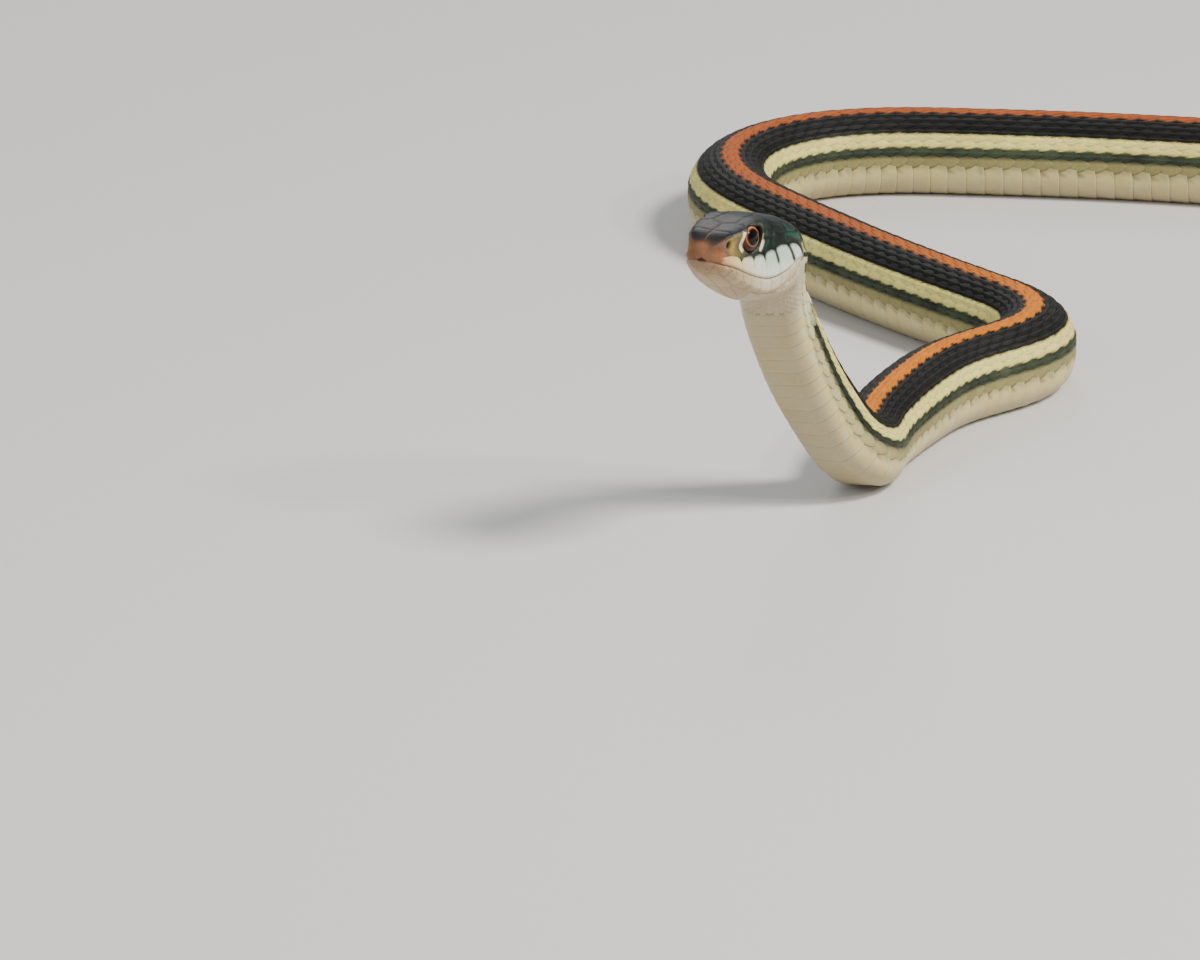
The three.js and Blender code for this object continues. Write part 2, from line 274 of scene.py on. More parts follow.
# =====================================================================================
# 3. Repeatable noise for colour variation
# =====================================================================================
def hash01(*k):
    h = np.zeros(np.broadcast(*k).shape, np.uint64) + np.uint64(0x9E3779B97F4A7C15)
    for i, v in enumerate(k):
        w = np.asarray(v).astype(np.int64).astype(np.uint64)
        h = (h ^ (w + np.uint64(0x9E3779B9) * np.uint64(i + 1))) * np.uint64(0xBF58476D1CE4E5B9)
        h = h ^ (h >> np.uint64(27))
        h = h * np.uint64(0x94D049BB133111EB)
        h = h ^ (h >> np.uint64(31))
    return (h >> np.uint64(40)).astype(float) / float(1 << 24)


def noise(P, size, seed=0):
    """smooth value noise in space, -1..1; P in mm"""
    X = P / size
    I = np.floor(X).astype(np.int64)
    F = X - I
    F = F * F * (3 - 2 * F)
    out = 0
    for dx in (0, 1):
        for dy in (0, 1):
            for dz in (0, 1):
                w = (F[..., 0] if dx else 1 - F[..., 0]) * (F[..., 1] if dy else 1 - F[..., 1]) * (F[..., 2] if dz else 1 - F[..., 2])
                out = out + w * hash01(I[..., 0] + dx, I[..., 1] + dy, I[..., 2] + dz, np.int64(seed))
    return out * 2 - 1


def lin(r, g, b):
    c = np.array([r, g, b], float) / 255
    return np.where(c <= 0.04045, c / 12.92, ((c + 0.055) / 1.055) ** 2.4)


def mix(a, b, w):
    w = np.asarray(w, float)[..., None]
    return a * (1 - w) + b * w


BLACK = lin(14, 14, 12)
ORANGE = np.array([0.58, 0.165, 0.000])
RUST = np.array([0.27, 0.050, 0.012])
CREAM = np.array([0.67, 0.595, 0.19])
OLIVE = lin(62, 72, 52)
BELLY = np.array([0.44, 0.385, 0.235])
BELLY_EDGE = np.array([0.60, 0.50, 0.215])
WHITEBLUE = lin(190, 200, 186)
GREENBLACK = lin(38, 52, 44)


def body_colour(s, q, deg, P):
    """colour of the dorsal side by place: s in mm, q in rows"""
    s, q = np.broadcast_arrays(s, q)
    scale19 = 19.0 / rows_at(s)
    Q = np.abs(q) * scale19            # as if there were 19 rows everywhere
    n1 = noise(P, 0.55, 3)
    n2 = noise(P, 2.6, 4)
    # black ground, a little olive or brown on some scales
    c = mix(BLACK + 0 * P, lin(24, 24, 20), 0.5 + 0.5 * n2)
    # back stripe: orange near the head, more rust-red further back
    stripe = mix(ORANGE, RUST, step(95, 150, s) * 0.75 + 0.25 * step(150, 420, s))
    stripe = stripe * (1 + 0.10 * n1[..., None])
    tooth = 2 * np.abs(np.mod(count_at(s) + 0.15, 1.0) - 0.5)
    w = 1 - step(-0.06, 0.06, Q - (0.92 + 0.62 * tooth) + 0.08 * n1)
    w = w * step(17, 22, s)
    c = mix(c, stripe, w)
    # side stripe: pale yellow cream on rows 3 and 4 from the belly
    side = CREAM * (1 + 0.05 * n1[..., None]) * np.array([1.0, 1.0, 1.0])
    w = step(5.38, 5.56, Q - 0.16 * tooth + 0.06 * n1) * (1 - step(7.38, 7.56, Q + 0.16 * tooth + 0.06 * n1))
    c = mix(c, side, w)
    # the two lowest rows: olive grey with darker edges
    low = mix(OLIVE + 0 * P, lin(30, 36, 28), 0.5 + 0.5 * n2)
    w = step(7.38, 7.56, Q + 0.16 * tooth + 0.06 * n1)
    low = mix(low, lin(150, 140, 92), step(8.45, 9.1, Q) * 0.85)
    front = 1 - step(44, 60, s)
    low = mix(low, np.array([0.50, 0.44, 0.21]), step(8.3, 8.7, Q) * front * 0.85)
    low = mix(low, lin(16, 26, 18), (1 - step(8.3, 8.7, Q)) * front * 0.8)
    c = mix(c, low, w)
    return np.clip(c, 0.002, 1)


def belly_colour(s, deg, u, P):
    """belly shields: u runs 0..1 along each shield"""
    a = np.abs(np.mod(deg, 360) - 180)          # 0 at the middle of the belly
    edge = 180 - edge_deg(s)
    e = a / edge
    n1, n2 = noise(P, 0.8, 7), noise(P, 3.5, 8)
    c = mix(BELLY + 0 * P, lin(176, 158, 116), 0.5 + 0.5 * n2)
    c = mix(c, BELLY_EDGE, step(0.55, 0.9, e + 0.05 * n1))
    # bluish white flecks towards the ends of the shields
    neck = (1 - step(60, 90, s))
    c = mix(c, WHITEBLUE, step(0.70, 0.86, e + 0.10 * n1) * step(0.0, 0.6, n1) * (0.15 + 0.30 * neck))
    c = mix(c, lin(112, 108, 70), step(0.92, 1.0, e + 0.05 * n1) * 0.6)
    # the free hind edge is thin and a little lighter; the front of each shield, in the fold under the shield before
    # it, is darkened as painted shade
    c = c * (1 - 0.12 * (1 - step(0.0, 0.22, u)))[..., None]
    c = mix(c, np.array([0.60, 0.52, 0.32]), step(0.86, 1.0, u) * 0.22)
    return np.clip(c, 0.002, 1)


# =====================================================================================
# 4. Mesh helper
# =====================================================================================
def make_mesh(name, V, quads, tris, colour, uv_loops, extra=None):
    me = bpy.data.meshes.new(name)
    quads = np.asarray(quads, np.int64).reshape(-1, 4)
    tris = np.asarray(tris, np.int64).reshape(-1, 3)
    nq, nt = len(quads), len(tris)
    loops = np.concatenate([quads.ravel(), tris.ravel()])
    me.vertices.add(len(V))
    me.vertices.foreach_set('co', np.ascontiguousarray(V, np.float32).ravel())
    me.loops.add(len(loops))
    me.loops.foreach_set('vertex_index', loops.astype(np.int32))
    me.polygons.add(nq + nt)
    start = np.concatenate([np.arange(nq) * 4, nq * 4 + np.arange(nt) * 3]).astype(np.int32)
    total = np.concatenate([np.full(nq, 4), np.full(nt, 3)]).astype(np.int32)
    me.polygons.foreach_set('loop_start', start)
    me.polygons.foreach_set('loop_total', total)
    me.polygons.foreach_set('use_smooth', np.ones(nq + nt, bool))
    me.update(calc_edges=True)
    at = me.color_attributes.new('Col', 'FLOAT_COLOR', 'POINT')
    rgba = np.ones((len(V), 4), np.float32)
    rgba[:, :3] = colour
    at.data.foreach_set('color', rgba.ravel())
    for key, val in (extra or {}).items():
        a = me.attributes.new(key, 'FLOAT', 'POINT')
        a.data.foreach_set('value', np.ascontiguousarray(val, np.float32))
    uv = me.uv_layers.new(name='OFBake')
    uv.data.foreach_set('uv', np.ascontiguousarray(uv_loops, np.float32).ravel())
    me.validate()
    ob = bpy.data.objects.new(name, me)
    bpy.context.scene.collection.objects.link(ob)
    return ob


# unwrap of the skin's own shape: the head gets the upper half, the trunk and tail sixteen strips
HEAD_UV_END = 24.0


def body_uv(s, deg):
    """deg 0..360 measured so that the seam is under the belly"""
    n = 16
    L = (TOTAL_LENGTH - HEAD_UV_END) / n
    f = np.clip((s - HEAD_UV_END) / L, 0, n - 1e-6)
    k = np.floor(f)
    fs = f - k
    a = (np.mod(deg + 180, 360)) / 360.0
    col, row = np.mod(k, 4), np.floor(k / 4)
    u = (col + 0.02 + 0.96 * fs) / 4
    v = (row + 0.04 + 0.92 * a) / 8
    return np.stack([u, v], -1)


def head_uv(s, deg):
    a = (np.mod(deg + 180, 360)) / 360.0
    w = np.interp(s, [0, 1, 3, 24], [0, 0.12, 0.26, 1.0])
    return np.stack([0.01 + 0.98 * w, 0.52 + 0.46 * a], -1)


def root_uv(s, deg):
    return np.where((s < HEAD_UV_END)[..., None], head_uv(s, deg), body_uv(s, deg))


# =====================================================================================
# 5. The head: plates, grooves and colours
# =====================================================================================
def lips(s):
    """height of the line where the lips meet; at the tip of the snout it runs a little lower"""
    return along(MOUTH, s) - 0.33 * (1 - step(0.2, 3.4, s))


def deg_of(s, dz):
    """angle on the side of the head at height dz above the mouth line"""
    s, dz = np.broadcast_arrays(np.asarray(s, float), np.asarray(dz, float))
    lo, hi = np.full(s.shape, 30.0), np.full(s.shape, 178.0)
    zm = lips(s)
    for _ in range(26):
        mid = (lo + hi) / 2
        z = section(s, mid)[1]
        up = z > zm + dz
        lo, hi = np.where(up, mid, lo), np.where(up, hi, mid)
    return (lo + hi) / 2


# height of the upper edge of the lip shields above the mouth line
LIP_TOP = [(0.4, .62), (1.0, 1.0), (1.7, 1.2), (2.6, 1.38), (3.6, 1.42), (4.6, 1.9), (5.6, 2.3), (6.6, 2.6), (7.6, 2.85),
           (8.6, 3.35), (9.6, 3.6), (10.8, 3.7), (12.2, 3.2), (13.4, 2.7), (14.2, 2.1), (15.0, 1.25), (15.6, 0.6)]
# seams between the lip shields: s at the top edge, s at the mouth, width of the dark bar
LIP_SEAMS = [(1.25, 1.30, 0.0), (2.40, 2.50, 0.0), (3.68, 3.80, 0.25), (6.07, 6.20, 0.30), (7.95, 8.35, 0.45),
             (9.62, 10.9, 1.0), (12.25, 13.75, 1.15), (14.95, 15.3, 0.6)]
LOW_EDGE = [(0.9, -.75), (1.6, -1.15), (2.6, -1.55), (4.6, -1.85), (6.2, -1.9), (8.5, -1.95), (10.2, -1.9), (12.5, -1.6), (14.3, -1.0), (15.4, -.4)]
LOW_SEAMS = [0.95, 1.85, 2.9, 4.1, 5.5, 7.3, 9.3, 11.2, 12.9, 14.3]


def line(points, n=60, mirror=True):
    """dense samples of a smooth line through (s, deg) marks"""
    p = np.array(points, float)
    t = np.concatenate([[0], np.cumsum(np.linalg.norm(np.diff(p * [1, 0.08], axis=0), axis=1))])
    T = np.linspace(0, t[-1], n)
    a = np.stack([curve(t, p[:, 0], T), curve(t, p[:, 1], T)], -1) if len(p) > 2 else \
        np.stack([np.interp(T, t, p[:, 0]), np.interp(T, t, p[:, 1])], -1)
    return np.concatenate([a, a * [1, -1]]) if mirror else a


def side_line(points, n=60):
    p = np.array(points, float)
    t = np.concatenate([[0], np.cumsum(np.linalg.norm(np.diff(p, axis=0), axis=1))])
    T = np.linspace(0, t[-1], n)
    s, dz = np.interp(T, t, p[:, 0]), np.interp(T, t, p[:, 1])
    return np.concatenate([np.stack([s, deg_of(s, dz)], -1), np.stack([s, -deg_of(s, dz)], -1)])


SEAMS = [
    line([(.36, 0), (.33, 20), (.31, 46), (.36, 70), (.42, 88), (.50, 103)]),        # rostral
    line([(.36, 0), (1.95, 0)], 40, False), line([(1.95, 0), (1.9, 15), (2.1, 31), (1.75, 43)]),
    line([(.33, 40), (.9, 42), (1.75, 43), (2.3, 46)]),
    line([(1.95, 0), (4.15, 0)], 50, False), line([(2.3, 46), (3.2, 47), (4.0, 44)]),
    line([(4.15, 0), (4.45, 12), (4.75, 19)]), line([(4.75, 19), (4.4, 32), (4.0, 44)]),
    line([(4.75, 19), (6.5, 15.5), (8.6, 17)]), line([(8.6, 17), (9.6, 8), (10.1, 0)]),
    line([(8.6, 17), (8.5, 30), (8.3, 41)]),
    line([(10.1, 0), (15.3, 0)], 110, False),
    line([(8.3, 41), (9.6, 45), (12, 41), (14.0, 29), (15.2, 13), (15.5, 0)], 120),
    line([(.85, 44), (.95, 62), (1.05, 82)]), line([(1.85, 44), (1.95, 62), (1.9, 84)]),
    line([(3.15, 47), (3.0, 66), (3.1, 86)]),
    line([(8.3, 41), (8.95, 55), (9.0, 70), (8.5, 82)]), line([(7.9, 57), (8.95, 58)], 20), line([(7.9, 70), (8.95, 71)], 20),
    line([(12.1, 41), (12.3, 56), (12.2, 70)]), line([(8.97, 60), (10.5, 62), (12.3, 57)]), line([(12.3, 57), (14, 55), (15.2, 50)]),
    side_line(LIP_TOP, 220),
    side_line([(0.9, -.75), (1.6, -1.15), (2.6, -1.55), (4.6, -1.85), (6.2, -1.9), (8.5, -1.95), (10.2, -1.9), (12.5, -1.6), (14.3, -1.0), (15.4, -.4)], 220),
    line([(.35, 128), (.55, 150), (.95, 168), (1.15, 180)]),                           # mental
    line([(1.15, 180), (8.4, 180)], 120, False),
    line([(.95, 168), (1.6, 150), (2.6, 148)]),
    line([(2.6, 148), (3.8, 153), (4.7, 160)]), line([(4.7, 180), (4.7, 160)], 30),
    line([(4.7, 160), (6.5, 165), (8.2, 172), (8.4, 180)]),
]
for top, bot, _ in LIP_SEAMS:
    SEAMS.append(side_line([(top, float(np.interp(top, *zip(*LIP_TOP)))), ((top + bot) / 2 + 0.06, 0.5 * float(np.interp(top, *zip(*LIP_TOP)))), (bot, 0.02)], 40))
for k in LOW_SEAMS:
    SEAMS.append(side_line([(k, -.05), (k + .25, float(np.interp(k + .3, *zip(*LOW_EDGE))))], 30))
SEAM_PTS = np.concatenate(SEAMS)
_y, _z = section(SEAM_PTS[:, 0], SEAM_PTS[:, 1])
_tree = kdtree.KDTree(len(SEAM_PTS))
for _i, (_a, _b, _c) in enumerate(zip(SEAM_PTS[:, 0], _y, _z)):
    _tree.insert((_a, _b, _c), _i)
_tree.balance()


def seam_distance(s, y, z):
    return np.array([_tree.find((a, b, c))[2] for a, b, c in zip(s, y, z)])


def head_fields(s, deg):
    """relief in mm and colour for the head skin, for flat arrays of s (<24) and deg"""
    y, z = section(s, deg)
    d = np.mod(deg, 360.0)
    a = np.where(d > 180, 360 - d, d)             # 0 top .. 180 chin
    zm = lips(s)
    dz = z - zm
    P = np.stack([s, y, z], -1)
    seam = seam_distance(s, y, z)
    n05, n1, n2, n4 = noise(P, 0.22, 11), noise(P, 0.5, 12), noise(P, 1.3, 13), noise(P, 3.0, 14)
    plates = (1 - step(13.5, 16.5, s))
    # ---- relief
    h = plates * (0.045 * (1 - np.exp(-(seam / 0.32) ** 2)) - 0.055 * np.exp(-(seam / 0.085) ** 2))
    h = h + 0.006 * n1
    mouth = np.exp(-(dz / 0.13) ** 2) * step(0.0, 0.02, s) * (1 - step(14.9, 15.6, s))
    h = h - 0.17 * mouth
    # the upper lip stands out a little over the lower one
    h = h + 0.10 * np.exp(-((dz - 0.42) / 0.32) ** 2) * (1 - step(14.0, 15.6, s)) * step(0.3, 1.5, s)
    h = h + 0.06 * np.exp(-((dz + 0.40) / 0.30) ** 2) * (1 - step(13.5, 15.2, s)) * step(0.3, 1.5, s)
    # brow ridge and the hollow in front of the eye
    ex, ez = s - EYE['s'], z - EYE['z']
    side = step(30, 50, a) * (1 - step(100, 112, a))
    re = np.hypot(ex, ez)
    h = h + 0.10 * np.exp(-((re - 1.84) / 0.15) ** 2) * side
    h = h - 0.20 * np.exp(-(((s - 3.2) / 1.0) ** 2 + ((dz - 2.6) / 0.75) ** 2)) * side
    socket = (1 - step(1.60, 1.74, re)) * side * (np.abs(y) > 1.5)
    h = h - 1.15 * socket
    # crown: a shallow trough between the brows
    h = h - 0.10 * np.exp(-((s - 5.6) / 2.2) ** 2) * np.exp(-(y / 1.5) ** 2) * (a < 60)
    # nostril
    nx, nz = (s - 1.28) / 0.30, (dz - 2.45) / 0.62
    ny = (np.abs(y) - 2.25) / 0.6
    nr = np.sqrt(nx ** 2 + nz ** 2 + 0.3 * ny ** 2)
    h = h - 0.46 * (1 - step(0.60, 1.05, nr)) + 0.05 * np.exp(-((nr - 1.35) / 0.3) ** 2)
    # notch for the tongue in the middle of the upper lip
    nt = np.sqrt((y / 0.80) ** 2 + ((dz - 0.06 + 0.12 * y ** 2) / 0.24) ** 2)
    notch = (1 - step(0.7, 1.15, nt)) * (s < 0.6)
    h = h - 0.12 * notch
    # chin groove
    h = h - 0.06 * np.exp(-(y / 0.10) ** 2) * (a > 150) * step(1.0, 1.6, s) * (1 - step(7.5, 9.0, s))
    # ---- colour
    TOP = mix(lin(27, 35, 41) + 0 * P, lin(24, 27, 25), step(2.5, 6.5, s + 0.6 * n2))
    TOP = mix(TOP, lin(10, 21, 18), step(6.5, 10.0, s + 0.8 * n2))
    TOP = 0.80 * TOP * (1 + 0.30 * n2 + 0.22 * n1 + 0.22 * n05)[..., None]
    brown = step(-0.1, 0.7, n4) * 0.45 * (1 - step(8, 12, s))
    TOP = mix(TOP, lin(62, 50, 38), brown)
    SIDE = mix(lin(104, 92, 52) + 0 * P, lin(72, 74, 46), step(2.6, 4.2, s))          # loreal olive yellow
    # behind the eye the side turns to dark green-black plates; the lighter green patches from noise paint the
    # greenish sheen on them
    SIDE = mix(SIDE, mix(lin(8, 17, 14) + 0 * P, lin(26, 66, 52), step(-0.1, 0.8, n2 + 0.5 * n1)), step(6.4, 7.4, s))
    SIDE = SIDE * (1 + 0.18 * n1 + 0.12 * n05)[..., None]
    SNOUT = mix(np.array([0.31, 0.128, 0.050]) + 0 * P, np.array([0.17, 0.072, 0.032]), 0.5 + 0.5 * n2 + 0.25 * step(0.4, 2.0, z)) * (1 + 0.08 * n05 + 0.05 * n1)[..., None]
    LIP = mix(np.array([0.66, 0.50, 0.24]) + 0 * P, np.array([0.60, 0.66, 0.53]), step(2.6, 7.6, s + 0.3 * n2))
    LIP = mix(LIP, lin(166, 190, 172), step(6.0, 9.0, s) * step(0.8, 2.6, dz) * 0.6)
    LIP = LIP * (1 + 0.04 * n1)[..., None]
    LIP = mix(LIP, lin(206, 196, 164), (1 - step(0.0, 0.7, dz)) * 0.5)
    CHIN = mix(np.array([0.49, 0.370, 0.210]) + 0 * P, np.array([0.39, 0.280, 0.155]), 0.5 + 0.5 * n2)
    CHIN = mix(CHIN, np.array([0.62, 0.58, 0.44]), step(4.0, 8.0, s) * (1 - step(1.0, 1.9, -dz)) * 0.7)
    CHIN = CHIN * (1 + 0.035 * n1)[..., None]

    liptop = np.interp(s, *zip(*LIP_TOP))
    c = TOP
    # side of the face below the crown edge
    c = mix(c, SIDE, step(40, 50, a + 3 * n2) * (1 - step(7.4, 8.6, s)) + step(38, 46, a) * step(7.4, 8.6, s))
    # pinkish grey nasal shield round the nostril, yellow patch behind it
    nas = np.exp(-(((s - .95) / .45) ** 2 + ((dz - 2.0) / .8) ** 2)) * step(36, 46, a)
    c = mix(c, lin(118, 84, 74), np.clip(nas * 1.3, 0, 0.85))
    pat = np.exp(-(((s - 1.95) / .42) ** 2 + ((dz - 2.3) / .8) ** 2)) * step(42, 50, a)
    c = mix(c, lin(176, 138, 62), np.clip(pat * 1.25, 0, .85))
    pat = np.exp(-(((s - 2.7) / .5) ** 2 + ((dz - 1.9) / .5) ** 2)) * step(42, 50, a)
    c = mix(c, lin(112, 106, 56), np.clip(pat, 0, .7))
    # lip shields
    plain_top = liptop
    for top_, bot_, w_ in LIP_SEAMS[2:]:
        liptop = liptop - 0.42 * np.exp(-(np.abs(s - top_ - 0.05) / 0.26) ** 1.5)
    inlip = step(-0.06, 0.06, liptop - dz + 0.03 * n1) * step(-0.02, 0.02, dz) * (a > 60) * (1 - step(15.3, 15.7, s))
    c = mix(c, LIP, inlip)
    # orange snout: rostral, first lip shields and the front of the nasals
    sn = (1 - step(0.50, 1.55, s + 0.15 * n1 + 0.45 * step(1.0, 2.4, dz))) * step(-0.1, 0.0, dz)
    topcut = 1 - step(0.9, 2.35, z + 0.30 * n2)
    c = mix(c, SNOUT, np.clip(sn * topcut, 0, 1))
    c = mix(c, np.array([0.60, 0.36, 0.15]), inlip * step(0.9, 1.4, s) * (1 - step(1.8, 3.2, s)) * 0.75)
    # chin
    c = mix(c, CHIN, 1 - step(-0.05, 0.02, dz))
    c = mix(c, SNOUT * 1.05, (1 - step(-0.05, 0.02, dz)) * (1 - step(0.3, 3.0, s)) * 0.55)
    # black upper border of the lip shields, wider behind the eye
    bw = 0.12 + 0.20 * step(4.4, 6, s)
    e = np.exp(-(((dz - liptop) - bw * 0.45) / bw) ** 2) * step(2.9, 3.8, s) * (a > 60) * (1 - step(15.0, 15.6, s))
    c = mix(c, lin(7, 9, 8), np.clip(e * 1.35, 0, 1))
    # black bars between the hind lip shields
    for top, bot, w in LIP_SEAMS:
        if w <= 0:
            continue
        lt = float(np.interp(top, *zip(*LIP_TOP)))
        f = np.clip(dz / lt, 0, 1.2)
        sx = bot + (top - bot) * f + 0.10 * np.sin(f * 3.1)
        reach = {0.25: 0.80, 0.30: 0.78, 0.45: 0.72, 1.0: 0.42, 1.15: 0.12, 0.6: 0.3}[w]
        bar = np.exp(-((s - sx) / (0.10 + 0.09 * w)) ** 2) * step(reach - 0.06, reach + 0.10, f) * (a > 60) * (1 - step(1.0, 1.15, f))
        c = mix(c, lin(8, 9, 8), np.clip(bar * 1.4, 0, 1))
        thin = np.exp(-((s - sx) / 0.06) ** 2) * inlip * 0.35
        c = mix(c, lin(120, 112, 92), thin)
    # cream crescent in front of the eye, cream mark behind and below it
    ang = np.arctan2(ez, ex)
    cres = np.exp(-((re - 2.12) / 0.17) ** 4) * step(0.78, 0.86, np.cos(ang - 190 * D2R)) * side
    c = mix(c, np.array([0.80, 0.70, 0.42]), np.clip(cres * 1.5, 0, 1))
    post = np.exp(-((re - 2.16) / 0.24) ** 4) * side * step(0.93, 0.98, np.cos(ang + 0.38))
    c = mix(c, np.array([0.74, 0.66, 0.42]), np.clip(post * 1.5, 0, 1))
    post2 = np.exp(-((re - 2.02) / 0.12) ** 2) * side * step(0.97, 0.99, np.cos(ang - 0.16))
    c = mix(c, lin(168, 160, 112), np.clip(post2 * 1.2, 0, .8))
    # painted shade: a dark rim in the crease round the eye opening
    rim = np.exp(-((re - 1.76) / 0.12) ** 2) * side
    c = mix(c, lin(22, 22, 20), np.clip(rim * 1.2, 0, 1))
    # painted shade: the socket behind the eye is painted dark
    c = mix(c, lin(20, 18, 16), socket)
    # brow over the eye: lighter edge in front
    br = np.exp(-((re - 2.0) / 0.18) ** 2) * (np.cos(ang - 2.05) > 0.86) * side
    c = mix(c, lin(84, 78, 50), br * 0.6)
    # seams between plates
    dark = np.exp(-(seam / 0.075) ** 2) * plates
    ontop = (a < 42)
    c = mix(c, lin(14, 17, 17), dark * np.where(ontop, 0.50, 0.0))
    c = mix(c, lin(5, 7, 6), np.exp(-(seam / 0.12) ** 2) * plates * (dz > liptop) * (a >= 42) * step(6, 8, s) * 0.95)
    c = mix(c, lin(96, 84, 60), dark * (dz > liptop) * (a >= 42) * (1 - step(5, 7, s)) * step(1.4, 2, s) * 0.55)
    c = mix(c, lin(112, 84, 66), dark * (dz < 0) * 0.55)
    c = mix(c, lin(150, 100, 70), dark * (s < 1.4) * (dz > 0) * 0.20)
    # pale internasal seam, as in life
    c = mix(c, lin(104, 108, 108), np.exp(-(y / 0.07) ** 2) * (a < 30) * step(.36, .5, s) * (1 - step(1.2, 1.6, s)) * 0.6)
    # mouth line
    c = mix(c, lin(104, 66, 48), np.exp(-(dz / 0.085) ** 2) * step(0.02, 0.1, s) * (1 - step(14.9, 15.5, s)))
    c = mix(c, lin(62, 14, 10), np.clip(notch * 1.2, 0, 1))
    # painted shade: the inside of the nostril is painted dark
    c = mix(c, lin(26, 17, 13), 1 - step(0.70, 1.08, nr))
    # small dark dots on the chin and face
    for ds, dd in ((.45, 161), (2.2, 118), (4.6, 128)):
        yy, zz = section(np.array([ds]), np.array([float(dd)]))
        r2 = (s - ds) ** 2 + (np.abs(y) - yy[0]) ** 2 + (z - zz[0]) ** 2
        c = mix(c, lin(60, 44, 38), np.exp(-r2 / 0.10 ** 2) * 0.9)
    # nape and throat: what shows between the scales
    q = np.sign(180.01 - d) * a / (edge_deg(s) / 9.5)
    under = body_colour(s, q, deg, P) * 0.55
    throat = mix(lin(176, 158, 122) + 0 * P, lin(160, 140, 106), 0.5 + 0.5 * n2)
    nape = mix(under, throat, step(-3, 3, a - edge_deg(s)))
    start = np.interp(a, [0, 20, 40, 60, 80, 100, 115, 125, 135, 145, 155, 170, 180], [15.5, 15.2, 13.6, 15.2, 15.4, 15.6, 15.2, 13.4, 11.0, 8.0, 6.4, 8.0, 8.5])
    c = mix(c, nape, step(-0.25, 0.25, s - start))
    return h, np.clip(c, 0.002, 1), start


# =====================================================================================
# 6. The skin: one closed mesh from the snout to the tail tip
# =====================================================================================
NH, NB = 256, 64


def head_rings():
    s = np.concatenate([np.linspace(0.02, 1, 400) ** 2 * 1.0, np.arange(1.001, 24.0, 0.01)])
    a = np.array([0.0, 60, 110, 150, 180])
    S, A = np.meshgrid(s, a, indexing='ij')
    y, z = section(S, A)
    P = np.stack([S, y, z], -1)
    d = np.linalg.norm(np.diff(P, axis=0), axis=-1).max(1)
    L = np.concatenate([[0], np.cumsum(d)])
    n = int(L[-1] / 0.108)
    return np.interp(np.linspace(0, L[-1], n), L, s)


